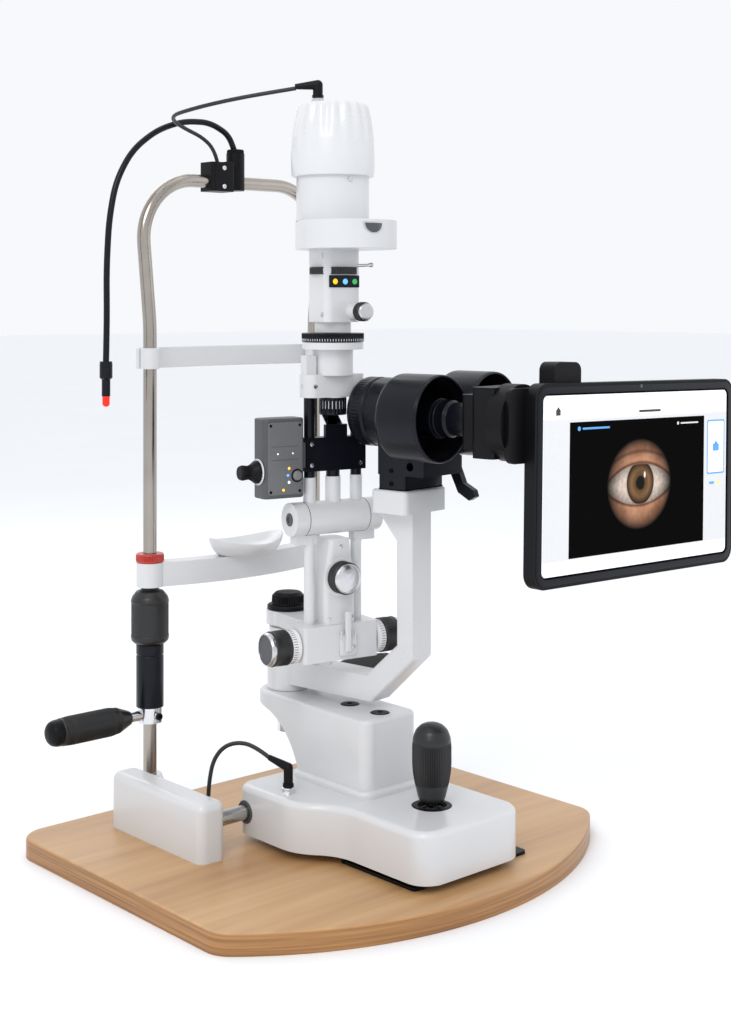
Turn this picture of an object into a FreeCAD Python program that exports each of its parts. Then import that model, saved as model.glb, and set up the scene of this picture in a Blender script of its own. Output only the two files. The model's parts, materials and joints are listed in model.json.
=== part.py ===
import FreeCAD, Part
import math
import os
from FreeCAD import Vector

# Slit lamp with a head frame, on a table board. Millimetres, +X is the operator's right,
# +Y points to the patient, +Z is up. The origin is the plan centre of the board's underside.
# Heights in the functions are measured from the board's upper face, and seat() adds the board.

BOARD_THICKNESS = 19.0
BOARD_HALF_WIDTH = 235.0
BOARD_BACK = 208.0
BOARD_FRONT = 208.0
BOARD_SHOULDER = 114.0

POST_X = 107.0
POST_Y = 167.0
POST_RADIUS = 6.75
FRAME_TOP = 637.0
FRAME_CORNER = 60.0

BASE_X = 6.0
FOOT_LOW = 8.0
FOOT_HIGH = 54.0
AXLE_Y = 40.0
AXLE_Z = 29.0
AXLE_RADIUS = 7.0
COVER_IN = 130.0
COVER_OUT = 160.0
STICK_Y = -120.0
STICK_BALL_Z = 40.0

SWING_X = 5.0
SWING_Y = 86.0
COLUMN_TOP = 125.0
SHAFT_RADIUS = 11.0

LAMP_YAW = -10.0
LAMP_REACH = 88.0
BLOCK_Z = 187.0
DRUM_Z = 307.0
ROD_SPREAD = 26.0

SCOPE_YAW = 8.0
SCOPE_AXIS_Z = 408.0
EYE_SPREAD = 40.5
TABLET_YAW = -8.0

CORD_RADIUS = 2.0
parts = {}


def box(x0, x1, y0, y1, z0, z1):
    return Part.makeBox(x1 - x0, y1 - y0, z1 - z0, Vector(x0, y0, z0))


def rod(start, axis, radius, length):
    return Part.makeCylinder(radius, length, Vector(*start), Vector(*axis))


def cone(start, axis, r_start, r_end, length):
    return Part.makeCone(r_start, r_end, length, Vector(*start), Vector(*axis))


def turned(profile, at=(0, 0, 0), axis=(0, 0, 1)):
    """A solid of revolution from (radius, height) points, placed at a point along an axis."""
    wire = Part.makePolygon([Vector(r, 0, z) for r, z in profile + profile[:1]])
    solid = Part.Face(wire).revolve(Vector(0, 0, 0), Vector(0, 0, 1), 360)
    turn = FreeCAD.Rotation(Vector(0, 0, 1), Vector(*axis))
    solid.Placement = FreeCAD.Placement(Vector(*at), turn)
    return solid


def fused(*shapes):
    whole = shapes[0]
    for shape in shapes[1:]:
        whole = whole.fuse(shape)
    return whole.removeSplitter()


def rounded(shape, radius, chosen):
    """Fillets the edges for which chosen(edge) is true."""
    edges = [e for e in shape.Edges if chosen(e)]
    return shape.makeFillet(radius, edges)


def upright(edge):
    if len(edge.Vertexes) < 2:
        return False
    a, b = edge.Vertexes[0].Point, edge.Vertexes[-1].Point
    return abs(a.x - b.x) < 0.01 and abs(a.y - b.y) < 0.01 and abs(a.z - b.z) > 0.5


def level_at(height):
    def chosen(edge):
        box_ = edge.BoundBox
        return abs(box_.ZMin - height) < 0.01 and abs(box_.ZMax - height) < 0.01

    return chosen


def block(x0, x1, y0, y1, z0, z1, corner, lip=0.0):
    """A box with rounded upright edges and, if lip is given, a rounded upper rim."""
    solid = rounded(box(x0, x1, y0, y1, z0, z1), corner, upright)
    if lip:
        solid = rounded(solid, lip, level_at(z1))
    return solid


def plate(points, low, high):
    """A closed plan outline of points or (start, mid, end) arcs, raised from low to high."""
    edges = []
    last = None
    for item in points:
        if isinstance(item[0], tuple):
            start, mid, end = [Vector(x, y, low) for x, y in item]
            if last and (last - start).Length > 0.01:
                edges.append(Part.LineSegment(last, start).toShape())
            edges.append(Part.Arc(start, mid, end).toShape())
            last = end
        else:
            here = Vector(item[0], item[1], low)
            if last:
                edges.append(Part.LineSegment(last, here).toShape())
            last = here
    first = edges[0].Vertexes[0].Point
    if (last - first).Length > 0.01:
        edges.append(Part.LineSegment(last, first).toShape())
    face = Part.Face(Part.Wire(Part.sortEdges(edges)[0]))
    return face.extrude(Vector(0, 0, high - low))


def side_profile(points, half_width):
    """An outline in the reach and height plane, as wide as twice half_width across X."""
    wire = Part.makePolygon([Vector(-half_width, -m, z) for m, z in points + points[:1]])
    return Part.Face(wire).extrude(Vector(2 * half_width, 0, 0))


def route_tube(name, points, radius, factor=0.45):
    """A round tube along straight runs joined by tangent arcs; prints its length and radii."""
    corners = [Vector(*p) for p in points]
    edges = []
    radii = []
    last = corners[0]
    for before, at, after in zip(corners, corners[1:], corners[2:]):
        a = (before - at).normalize()
        b = (after - at).normalize()
        half_turn = (math.pi - a.getAngle(b)) / 2
        trim = factor * min((before - at).Length, (after - at).Length)
        bend = trim / math.tan(half_turn)
        start, end = at + a * trim, at + b * trim
        inward = (a + b).normalize()
        mid = at + inward * (bend / math.cos(half_turn) - bend)
        edges.append(Part.LineSegment(last, start).toShape())
        edges.append(Part.Arc(start, mid, end).toShape())
        radii.append(round(bend, 1))
        last = end
    edges.append(Part.LineSegment(last, corners[-1]).toShape())
    path = Part.Wire(edges)
    ring = Part.Wire(Part.makeCircle(radius, corners[0], corners[1] - corners[0]))
    tube = path.makePipeShell([ring], True, False)
    section = math.pi * radius * radius
    print(name, "length", round(path.Length, 1), "radii", radii,
          "volume ratio", round(tube.Volume / section / path.Length, 4))
    return tube


def seat(shape):
    """Raises a shape that was drawn from the board's upper face."""
    shape.translate(Vector(0, 0, BOARD_THICKNESS))
    return shape


def on_arm(shape, yaw):
    """Turns a shape drawn about the swing axis to its arm's yaw and seats it."""
    shape.rotate(Vector(0, 0, 0), Vector(0, 0, 1), yaw)
    shape.translate(Vector(SWING_X, SWING_Y, BOARD_THICKNESS))
    return shape


def keep(name, shape):
    parts[name] = shape


def table_board():
    left, right = -BOARD_HALF_WIDTH, BOARD_HALF_WIDTH
    bow = ((left, -BOARD_SHOULDER), (0, -BOARD_FRONT), (right, -BOARD_SHOULDER))
    outline = [(left, BOARD_BACK), bow, (right, BOARD_BACK), (left, BOARD_BACK)]
    solid = rounded(plate(outline, 0, BOARD_THICKNESS), 28, upright)
    solid = rounded(solid, 3, level_at(BOARD_THICKNESS))
    keep("table_board", solid)


def rails():
    keep("glide_plate", seat(block(-53, 92, -158.5, -60, 0, 3, 4)))
    covers = []
    racks = []
    for side in (-1, 1):
        x0, x1 = sorted((side * COVER_IN + BASE_X, side * COVER_OUT + BASE_X))
        shell = block(x0, x1, 17, 167, 0, FOOT_HIGH, 9, 8)
        shell = shell.cut(block(x0 + 3, x1 - 3, 20, 164, -1, FOOT_HIGH - 3, 5))
        inner = side * COVER_IN + BASE_X
        slot = box(inner - 4, inner + 4, 27, 143, AXLE_Z - 8.5, AXLE_Z + 8.5)
        covers.append(shell.cut(slot))
        middle = side * (COVER_IN + COVER_OUT) / 2 + BASE_X
        rack = box(middle - 6, middle + 6, 24, 160, 0, 15)
        pitch = 5.0
        for i in range(26):
            tooth_y = 26 + i * pitch
            rack = rack.cut(box(middle - 7, middle + 7, tooth_y, tooth_y + pitch / 2, 12.5, 16))
        racks.append(rack)
    keep("rail_covers", seat(Part.makeCompound(covers)))
    keep("rail_racks", seat(Part.makeCompound(racks)))


def frame_path():
    """The centre line of the head frame: two posts that lean out near the top, and a crossbar."""
    lean = 13.0
    side = [(POST_X, 0), (POST_X, 490), (POST_X + lean, FRAME_TOP)]
    left = [Vector(-x, POST_Y, z) for x, z in side]
    right = [Vector(x, POST_Y, z) for x, z in reversed(side)]
    return left + right


def head_frame():
    points = frame_path()
    radii = [260, FRAME_CORNER, FRAME_CORNER, 260]
    edges = []
    last = points[0]
    for before, at, after, bend in zip(points, points[1:], points[2:], radii):
        a = (before - at).normalize()
        b = (after - at).normalize()
        half_turn = (math.pi - a.getAngle(b)) / 2
        trim = bend * math.tan(half_turn)
        mid = at + (a + b).normalize() * (bend / math.cos(half_turn) - bend)
        edges.append(Part.LineSegment(last, at + a * trim).toShape())
        edges.append(Part.Arc(at + a * trim, mid, at + b * trim).toShape())
        last = at + b * trim
    edges.append(Part.LineSegment(last, points[-1]).toShape())
    path = Part.Wire(edges)
    faces = []
    for radius in (POST_RADIUS, POST_RADIUS - 1.5):
        ring = Part.Wire(Part.makeCircle(radius, points[0], Vector(0, 0, 1)))
        faces.append(path.makePipeShell([ring], True, False))
    keep("head_frame_tube", seat(faces[0].cut(faces[1])))

    collars = []
    clamps = []
    grips = []
    for side in (-1, 1):
        x = side * POST_X
        at = (x, POST_Y, 0)
        collars.append(turned([(POST_RADIUS, 0), (14.5, 0), (14.5, 36), (12, 42), (POST_RADIUS, 42)], at))
        ring = turned([(POST_RADIUS, 94), (12.5, 94), (12.5, 109), (POST_RADIUS, 109)], at)
        out = (side, 0, 0)
        stub = rod((x + side * 10, POST_Y, 101.5), out, 5, 14)
        screw = rod((x, POST_Y - 15, 101.5), (0, 1, 0), 3, 7)
        hollow = rod((x, POST_Y, 90), (0, 0, 1), POST_RADIUS, 25)
        clamps.append(fused(ring, stub, screw).cut(hollow))
        profile = [
            (0, 0), (6.5, 0), (9, 6), (12.5, 16), (14, 28), (14, 66), (13.2, 78),
            (12.6, 86), (10.5, 90.5), (6, 92.6), (0, 93),
        ]
        grips.append(turned(profile, (x + side * 24, POST_Y, 101.5), out))
    keep("post_collars", seat(Part.makeCompound(collars)))
    keep("grip_clamps", seat(Part.makeCompound(clamps)))
    keep("hand_grips", seat(Part.makeCompound(grips)))
    sleeve = turned([(POST_RADIUS, 109), (13.7, 109), (13.7, 172), (POST_RADIUS, 172)],
                    (-POST_X, POST_Y, 0))
    keep("chin_lift_sleeve", seat(sleeve))


def chin_rest():
    left = (-POST_X, POST_Y, 0)
    inner = POST_RADIUS + 0.05
    knob = turned([
        (inner, 172.4), (15, 172.4), (18.5, 176), (19, 180), (19, 214), (17.5, 219),
        (13, 225), (8.7, 226), (8.7, 228.2), (inner, 228.2),
    ], left)
    keep("chin_lift_knob", seat(knob))

    low, high = 229.0, 253.0
    inside = ((-POST_X + 8, POST_Y - 11), (0, POST_Y - 27), (POST_X - 8, POST_Y - 11))
    outside = ((POST_X - 8, POST_Y + 8), (0, POST_Y - 6), (-POST_X + 8, POST_Y + 8))
    bar = plate([inside, outside, (-POST_X + 8, POST_Y - 11)], low, high)
    for side in (-1, 1):
        x = side * POST_X
        bar = bar.fuse(rod((x, POST_Y, low), (0, 0, 1), 13.5, high - low))
    for side in (-1, 1):
        x = side * POST_X
        bar = bar.cut(rod((x, POST_Y, low - 5), (0, 0, 1), inner, high - low + 10))
    keep("chin_bar", seat(bar.removeSplitter()))

    cup = turned([(0, 0), (30, 0), (35, 6), (38, 16), (36, 17), (30, 12), (18, 8), (0, 7)])
    scale = FreeCAD.Matrix()
    scale.scale(1.15, 0.72, 1.0)
    cup = cup.transformGeometry(scale)
    cup.translate(Vector(0, POST_Y - 19, high))
    keep("chin_cup", seat(cup))
    ring = turned([(inner, high), (13, high), (14, 255), (14, 260), (13, 262), (inner, 262)], left)
    keep("chin_lock_ring", seat(ring))


def forehead():
    low, high = 446.0, 467.0
    y = POST_Y + POST_RADIUS
    inside = ((-POST_X - 8, y + 0.5), (0, y + 16), (POST_X + 8, y + 0.5))
    outside = ((POST_X + 8, y + 6), (0, y + 21.5), (-POST_X - 8, y + 6))
    band = plate([inside, outside, (-POST_X - 8, y + 0.5)], low, high)
    for side in (-1, 1):
        x = side * POST_X
        band = band.fuse(rod((x, POST_Y, low), (0, 0, 1), 9.5, high - low))
    for side in (-1, 1):
        x = side * POST_X
        band = band.cut(rod((x, POST_Y, low - 5), (0, 0, 1), POST_RADIUS, high - low + 10))
    keep("forehead_band", seat(band.removeSplitter()))


FIXATION_ROUTE = [
    (0, POST_Y, 668), (-9, POST_Y, 687), (-33, POST_Y, 698), (-66, POST_Y, 697),
    (-98, POST_Y, 686), (-128, POST_Y, 664), (-147, POST_Y, 632), (-155, POST_Y, 594),
    (-158, POST_Y, 545), (-157.5, POST_Y, 500), (-158.5, POST_Y, 455),
]


def fixation_lamp():
    body = block(-38, -9, POST_Y - 12, POST_Y + 12, FRAME_TOP - 10, FRAME_TOP + 20, 4)
    socket = rod((0, POST_Y, FRAME_TOP - 8), (0, 0, 1), 9.5, 39)
    clamp = fused(body, box(-12, 0, POST_Y - 7, POST_Y + 7, FRAME_TOP - 8, FRAME_TOP + 22), socket)
    clamp = clamp.cut(rod((-50, POST_Y, FRAME_TOP), (1, 0, 0), POST_RADIUS, 80))
    clamp = clamp.cut(rod((0, POST_Y, FRAME_TOP + 12), (0, 0, 1), 5.3, 40))
    keep("fixation_clamp", seat(clamp))
    foot = rod((0, POST_Y, FRAME_TOP + 12.3), (0, 0, 1), 5.25, 668 - FRAME_TOP - 12.3)
    neck = route_tube("fixation neck", FIXATION_ROUTE, 3.1)
    head = turned([(0, 455), (6, 455), (6.3, 452), (6.3, 439), (4.2, 437), (4.2, 421), (0, 421)],
                  (-158.5, POST_Y, 0))
    keep("fixation_arm", seat(Part.makeCompound([fused(foot, neck, head)])))
    tip = turned([(0, 421), (3.6, 421), (3.6, 413), (2.2, 411), (0, 410.5)], (-158.5, POST_Y, 0))
    keep("fixation_light", seat(tip))


def carriage():
    reach = COVER_IN + 5
    keep("axle", seat(rod((BASE_X - reach, AXLE_Y, AXLE_Z), (1, 0, 0), AXLE_RADIUS, 2 * reach)))
    wheels = []
    for side in (-1, 1):
        start = (BASE_X + side * (reach + 0.4), AXLE_Y, AXLE_Z)
        wheel = rod(start, (side, 0, 0), 13.2, 13)
        for i in range(16):
            angle = 2 * math.pi * i / 16
            notch = rod((start[0] - side, AXLE_Y + 14 * math.cos(angle), AXLE_Z + 14 * math.sin(angle)),
                        (side, 0, 0), 1.6, 16)
            wheel = wheel.cut(notch)
        wheels.append(wheel)
    keep("rack_wheels", seat(Part.makeCompound(wheels)))


def base_housing():
    rear, waist = 91.0, 64.0
    y_rear, y_hip, y_waist, y_front = 55.0, -14.0, -84.0, -177.0
    wide, long_ = rear - waist, y_hip - y_waist
    sweep = 2 * math.atan2(wide, long_)
    bend = long_ / 2 / math.sin(sweep)
    side, drop = bend * (1 - math.cos(sweep / 2)), bend * math.sin(sweep / 2)
    middle = (BASE_X - (rear + waist) / 2, (y_hip + y_waist) / 2)
    s_left = ((BASE_X - rear, y_hip), (BASE_X - rear + side, y_hip - drop), middle)
    t_left = (middle, (BASE_X - waist - side, y_waist + drop), (BASE_X - waist, y_waist))
    t_right = tuple((2 * BASE_X - x, y) for x, y in reversed(t_left))
    s_right = tuple((2 * BASE_X - x, y) for x, y in reversed(s_left))
    outline = [(BASE_X - rear, y_rear), (BASE_X - rear, y_hip)] + [
        s_left, t_left, (BASE_X - waist, y_front), (BASE_X + waist, y_front),
        t_right, s_right, (BASE_X + rear, y_rear), (BASE_X - rear, y_rear),
    ]
    solid = plate(outline, FOOT_LOW, FOOT_HIGH)

    def corners(edge):
        return upright(edge) and edge.Vertexes[0].Point.y in (y_front,)

    def back_corners(edge):
        return upright(edge) and abs(edge.Vertexes[0].Point.y - y_rear) < 0.1

    solid = rounded(solid, 22, corners)
    solid = rounded(solid, 16, back_corners)
    solid = rounded(solid, 6.5, level_at(FOOT_HIGH))
    solid = solid.cut(block(BASE_X - 55, BASE_X + 55, -168, 12, FOOT_LOW - 1, FOOT_HIGH - 5, 10))
    solid = solid.cut(rod((BASE_X, STICK_Y, FOOT_LOW), (0, 0, 1), 13.5, 60))
    solid = solid.cut(rod((BASE_X - 120, AXLE_Y, AXLE_Z), (1, 0, 0), AXLE_RADIUS + 0.08, 240))
    keep("base_housing", seat(solid))

    web = box(BASE_X - 54.9, BASE_X - 20, STICK_Y - 7, STICK_Y + 7, 12, 24)
    web = web.fuse(box(BASE_X + 20, BASE_X + 54.9, STICK_Y - 7, STICK_Y + 7, 12, 24))
    ring = rod((BASE_X, STICK_Y, 12), (0, 0, 1), 24, 12)
    cup = rod((BASE_X, STICK_Y, 11), (0, 0, 1), 17.5, 14)
    foot = rod((BASE_X, STICK_Y - 36, 3.3), (0, 0, 1), 7, 8.7)
    strut = box(BASE_X - 7, BASE_X + 7, STICK_Y - 43, STICK_Y - 20, 12, 24)
    keep("stick_bearing", seat(fused(web, ring, strut, foot).cut(cup)))


def column():
    top = COLUMN_TOP
    half = 34.0
    front, rear = -68.0, 26.0
    outline = [
        (BASE_X - half, front), (BASE_X + half, front), (BASE_X + half, rear - 10),
        ((BASE_X + half, rear - 10), (BASE_X + half - 2.5, rear + 20), (SWING_X + 29, SWING_Y - 6)),
        ((SWING_X + 29, SWING_Y - 6), (SWING_X, SWING_Y + 28), (SWING_X - 29, SWING_Y - 6)),
        ((SWING_X - 29, SWING_Y - 6), (BASE_X - half + 2.5, rear + 20), (BASE_X - half, rear - 10)),
        (BASE_X - half, front),
    ]
    solid = plate(outline, FOOT_HIGH + 6, top)

    def front_corners(edge):
        return upright(edge) and abs(edge.Vertexes[0].Point.y - front) < 0.1

    solid = rounded(solid, 12, front_corners)
    solid = rounded(solid, 4, level_at(top))
    under = [
        Vector(0, 150, FOOT_HIGH - 20), Vector(0, 34, FOOT_HIGH - 20), Vector(0, 34, 63),
    ]
    sweep_arc = Part.Arc(Vector(0, 34, 63), Vector(0, 60, 96), Vector(0, 122, 112)).toShape()
    edges = [
        Part.LineSegment(under[0], under[1]).toShape(),
        Part.LineSegment(under[1], under[2]).toShape(),
        sweep_arc,
        Part.LineSegment(Vector(0, 122, 112), Vector(0, 150, 112)).toShape(),
        Part.LineSegment(Vector(0, 150, 112), under[0]).toShape(),
    ]
    relief = Part.Face(Part.Wire(edges)).extrude(Vector(120, 0, 0))
    relief.translate(Vector(BASE_X - 60, 0, 0))
    solid = solid.cut(relief)
    skirt = block(BASE_X - half - 5, BASE_X + half + 5, front - 5, 39, FOOT_HIGH, FOOT_HIGH + 6.5, 14, 4)
    solid = solid.fuse(skirt)
    bore = rod((SWING_X, SWING_Y, 60), (0, 0, 1), SHAFT_RADIUS + 0.08, 80)
    solid = solid.cut(bore)
    for y in (-7, -50):
        solid = solid.cut(rod((BASE_X, y, top - 3), (0, 0, 1), 9.5, 5))
    keep("column_housing", seat(solid.removeSplitter()))


def joystick():
    at = (BASE_X, STICK_Y, 0)
    ball = Part.makeSphere(12, Vector(BASE_X, STICK_Y, STICK_BALL_Z - 10))
    ball = ball.cut(box(BASE_X - 7.6, BASE_X + 7.6, STICK_Y - 5.08, STICK_Y + 5.08, 5, 60))
    keep("joystick_ball", seat(ball))
    keep("joystick_shaft", seat(rod((BASE_X, STICK_Y, 20), (0, 0, 1), 5, 70)))
    grip = turned([
        (5.05, 58), (11.5, 58), (13, 64), (16.6, 79), (18, 92), (18, 110), (17.2, 117),
        (14.4, 123.5), (9.6, 127.5), (4.5, 129.4), (0, 129.8), (0, 90.3), (5.05, 90.3),
    ], at)
    keep("joystick_grip", seat(grip))


def base_fittings():
    knob = turned([(0, 0), (4, 0), (4, 8), (10, 8), (10.5, 10), (10.5, 20), (9, 22), (0, 22)],
                  (62, -42, FOOT_HIGH + 0.3))
    keep("base_lock_knob", seat(knob))
    plug = fused(
        rod((-69, -5, FOOT_HIGH), (0, 0, 1), 5.2, 9),
        rod((-69, -5, FOOT_HIGH + 9), (0, 0, 1), 4.4, 15),
        Part.makeSphere(4.4, Vector(-69, -5, FOOT_HIGH + 24)),
        cone((-69, -5, FOOT_HIGH + 24), (-6, 21, 6), 4.4, 2.6, 22.6),
    )
    keep("base_plug", seat(plug))


BASE_CORD_ROUTE = [
    (-75, 16, 84), (-80, 31, 92), (-88, 45, 95), (-99, 55, 91),
    (-107, 61, 78), (-110, 63, 60), (-111, 64, 40), (-110.5, 63, 20), (-110.5, 63.4, 0.3),
]

LAMP_CORD_ROUTE = [
    (-37.5, 25, 718.5), (-58, 43, 714), (-78, 66, 709), (-93, 92, 704), (-100, 118, 700),
    (-98, 140, 698), (-86, 156, 694), (-64, 166, 689), (-41, 168, 682), (-27, 167, 670), (-24, 166, 657),
]


def cables():
    keep("base_cord", seat(route_tube("base cord", BASE_CORD_ROUTE, CORD_RADIUS)))
    keep("lamp_cord", seat(route_tube("lamp cord", LAMP_CORD_ROUTE, CORD_RADIUS)))


def lift():
    shaft = rod((SWING_X, SWING_Y, 82), (0, 0, 1), SHAFT_RADIUS, 92)
    keep("lift_shaft", seat(shaft.fuse(rod((SWING_X, SWING_Y, 170), (0, 0, 1), 9, 32))))


def microscope_arm():
    outline = [
        (0, 132), (122, 132), (171, 178), (171, 318), (127, 318), (151, 290), (151, 190),
        (113, 156), (0, 156),
    ]
    bar = side_profile(outline, 14)

    def long_edges(edge):
        ends = [v.Point for v in edge.Vertexes]
        if len(ends) < 2 or abs(ends[0].x - ends[1].x) > 0.01:
            return False
        return all(-p.y > 5 and p.z < 317 for p in ends) and edge.Length > 12

    bar = rounded(bar, 3, long_edges)
    hub = rod((0, 0, COLUMN_TOP + 0.4), (0, 0, 1), 21, 33)
    head = block(-32, 32, -177, -134, 316, 338, 6, 3)
    solid = fused(bar, hub, head).cut(rod((0, 0, 100), (0, 0, 1), SHAFT_RADIUS + 0.06, 100))
    keep("microscope_arm", on_arm(solid, SCOPE_YAW))
    foot = block(-29.5, 29.5, -174, -142, 338, 366, 3)
    saddle = box(-29.5, 29.5, -196, -142, 352, SCOPE_AXIS_Z - 12)
    barrels = fused(
        rod((0, -100, SCOPE_AXIS_Z), (0, -1, 0), 33.6, 100),
        rod((-EYE_SPREAD, -176, SCOPE_AXIS_Z), (0, -1, 0), 41.0, 60),
        rod((EYE_SPREAD, -176, SCOPE_AXIS_Z), (0, -1, 0), 41.0, 60),
    )
    mount = foot.fuse(saddle.cut(barrels)).cut(rod((-40, -180, 361), (1, 0, 0), 4.05, 80))
    largest = max(mount.Solids, key=lambda s: s.Volume)
    keep("microscope_mount", on_arm(largest, SCOPE_YAW))
    pin = rod((-16, -180, 361), (1, 0, 0), 4, 50)
    wire = Part.makePolygon([Vector(31, -m, z) for m, z in (
        (174, 365), (186, 365), (196, 342), (208, 336), (210, 330), (203, 326),
        (190, 333), (181, 351), (174, 356), (174, 365))])
    blade = Part.Face(wire).extrude(Vector(7, 0, 0))
    keep("mount_lever", on_arm(fused(pin, blade), SCOPE_YAW))


def microscope():
    z = SCOPE_AXIS_Z
    front = turned([
        (0, 0), (27, 0), (27, 2), (29, 2), (30, -3), (33, -1), (33.3, 3), (33.3, 16), (32, 17),
        (32, 18.5), (33, 19.5), (33, 69), (0, 69),
    ], (0, -107, z), (0, -1, 0))
    keep("objective_barrel", on_arm(front, SCOPE_YAW))
    drums = []
    eyes = []
    for side in (-1, 1):
        at = (side * EYE_SPREAD, -176.3, z)
        radius = 40.0
        drum = turned([
            (0, 0), (radius - 4, 0), (radius, 4), (radius, 50), (radius - 2, 50), (radius - 2.6, 42),
            (0, 42),
        ], at, (0, -1, 0))
        drums.append(drum)
        eye_at = (side * 32, -218.4, z)
        eyes.append(turned([
            (0, 0), (17, 0), (17, 14), (15, 16), (15, 40), (17.5, 42), (17.5, 56), (14, 58),
            (14, 53), (0, 53),
        ], eye_at, (0, -1, 0)))
    keep("prism_housings", on_arm(Part.makeCompound(drums), SCOPE_YAW))
    keep("eyepieces", on_arm(Part.makeCompound(eyes), SCOPE_YAW))


TABLET_WIDTH = 288.0
TABLET_HEIGHT = 178.0
TABLET_THICKNESS = 12.0
TABLET_LEFT = -42.0
TABLET_REACH = 326.0
TABLET_MIDDLE_Z = 354.0


def on_tablet(shape):
    """Turns a shape drawn flat behind its face into the tablet's place on the microscope arm."""
    shape.rotate(Vector(0, 0, 0), Vector(0, 1, 0), 1.0)
    shape.rotate(Vector(0, 0, 0), Vector(0, 0, 1), TABLET_YAW)
    shape.translate(Vector(TABLET_LEFT, -TABLET_REACH, TABLET_MIDDLE_Z))
    return on_arm(shape, SCOPE_YAW)


def tablet():
    half = TABLET_HEIGHT / 2

    def flat(x0, x1, z0, z1, front, back, corner):
        slab = block(x0, x1, -z1, -z0, 0, back - front, corner)
        slab.rotate(Vector(0, 0, 0), Vector(1, 0, 0), -90)
        slab.translate(Vector(0, front, 0))
        return slab

    case = flat(0, TABLET_WIDTH, -half, half, 0, TABLET_THICKNESS, 14)
    glass = flat(9, TABLET_WIDTH - 9, -half + 9, half - 9, -1, 3, 8)
    keep("tablet_case", on_tablet(case.cut(glass)))
    screen = flat(9.1, TABLET_WIDTH - 9.1, -half + 9.1, half - 9.1, 0.4, 2.9, 7.9)
    keep("tablet_screen", on_tablet(screen))
    z = SCOPE_AXIS_Z
    clamp = block(-53, -11, -270, -255, z - 24, z + 24, 5)
    jaw = block(-56, -8, -293, -268, z - 31, z + 31, 6)
    disc = rod((-32, -290, z), (0, -1, 0), 34, 17)
    body = fused(clamp, jaw, disc).cut(rod((-32, -200, z), (0, -1, 0), 15.06, 55))
    body = body.cut(rod((-32, -250, z), (0, -1, 0), 17.6, 27.2))
    body = body.cut(rod((-32, -300, z), (0, -1, 0), 22, 20))
    keep("eyepiece_adapter", on_arm(body, SCOPE_YAW))

    backing = flat(-20, 130, 20, half - 4, TABLET_THICKNESS, TABLET_THICKNESS + 5, 8)
    knob = flat(38, 74, half - 16, half + 18, TABLET_THICKNESS, TABLET_THICKNESS + 18, 8)
    holder = on_tablet(fused(backing, knob)).cut(parts["eyepiece_adapter"])
    keep("tablet_bracket", max(holder.Solids, key=lambda s: s.Volume))


def lamp_arm():
    bar = box(-19, 19, -LAMP_REACH - 4, 0, 190, 204)
    hub = rod((0, 0, 190), (0, 0, 1), 22, 14)
    boss = rod((0, 0, 174.2), (0, 0, 1), 13, 17)
    scale = rod((0, 0, 182), (0, 0, 1), 19, 5)
    solid = fused(bar, hub, boss, scale).cut(rod((0, 0, 160), (0, 0, 1), 9.06, 42.3))
    m = LAMP_REACH
    body = box(-41, 41, -m - 17, -m + 17, BLOCK_Z - 15, BLOCK_Z + 19)
    stub = rod((-6, -m, BLOCK_Z - 21), (0, 0, 1), 5, 8)
    solid = solid.fuse(stub.fuse(rounded(body, 4, upright)))
    shaft_hole = rod((-60, -m, BLOCK_Z), (1, 0, 0), 5.06, 120)
    keep("lamp_arm", on_arm(solid.cut(shaft_hole).removeSplitter(), LAMP_YAW))
    cap = turned([
        (0, 204.3), (21, 204.3), (21, 208), (19.5, 209), (15.5, 209.6), (16.5, 212),
        (16, 218), (12, 221.4), (0, 222),
    ])
    keep("arm_lock_knob", on_arm(cap, LAMP_YAW))

    shaft = rod((-62, -m, BLOCK_Z), (1, 0, 0), 5, 124)
    knobs = [shaft]
    for side in (-1, 1):
        knobs.append(turned([
            (0, 0), (15.5, 0), (15.5, 10), (16.8, 11), (16.8, 28), (14.5, 32), (0, 32),
        ], (side * 42, -m, BLOCK_Z), (side, 0, 0)))
    keep("slit_width_knobs", on_arm(fused(*knobs), LAMP_YAW))

    posts = []
    for side in (-1, 1):
        posts.append(rod((side * ROD_SPREAD, -m, BLOCK_Z + 19), (0, 0, 1), 5.3, 82))
    for x in (-47.5, 33.5):
        knuckle = rod((x, -m, DRUM_Z), (1, 0, 0), 16, 14)
        posts.append(knuckle)
    posts.append(rod((-47.5, -m, DRUM_Z), (1, 0, 0), 5, 95))
    bridge_low = DRUM_Z - 24
    for side in (-1, 1):
        x0, x1 = sorted((side * (ROD_SPREAD - 5), side * 44))
        posts.append(box(x0, x1, -m - 5, -m + 5, bridge_low, DRUM_Z - 13))
    frame = fused(*posts)
    frame = frame.cut(rod((-33.2, -m, DRUM_Z), (1, 0, 0), 16.3, 66.4).cut(
        rod((-40, -m, DRUM_Z), (1, 0, 0), 5, 80)))
    keep("tower_posts", on_arm(frame, LAMP_YAW))

    wire = [(-17, 206), (17, 206), (17, 245), (11, 287), (-11, 287), (-17, 245), (-17, 206)]
    face = Part.Face(Part.makePolygon([Vector(x, -m - 15, z) for x, z in wire]))
    cover = face.extrude(Vector(0, 30, 0))

    def slanted(edge):
        ends = [v.Point for v in edge.Vertexes]
        return len(ends) > 1 and abs(ends[0].z - ends[1].z) > 10

    cover = rounded(cover, 5, slanted)
    cover = cover.cut(rod((0, -m - 20, 251), (0, 1, 0), 4.06, 20))
    keep("centering_cover", on_arm(cover, LAMP_YAW))
    knob = turned([
        (0, -12), (4, -12), (4, 0.4), (15, 0.4), (15.6, 2), (15.6, 12), (14.4, 16), (0, 16.6),
    ], (0, -m - 15, 251), (0, -1, 0))
    keep("centering_knob", on_arm(knob, LAMP_YAW))


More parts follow.
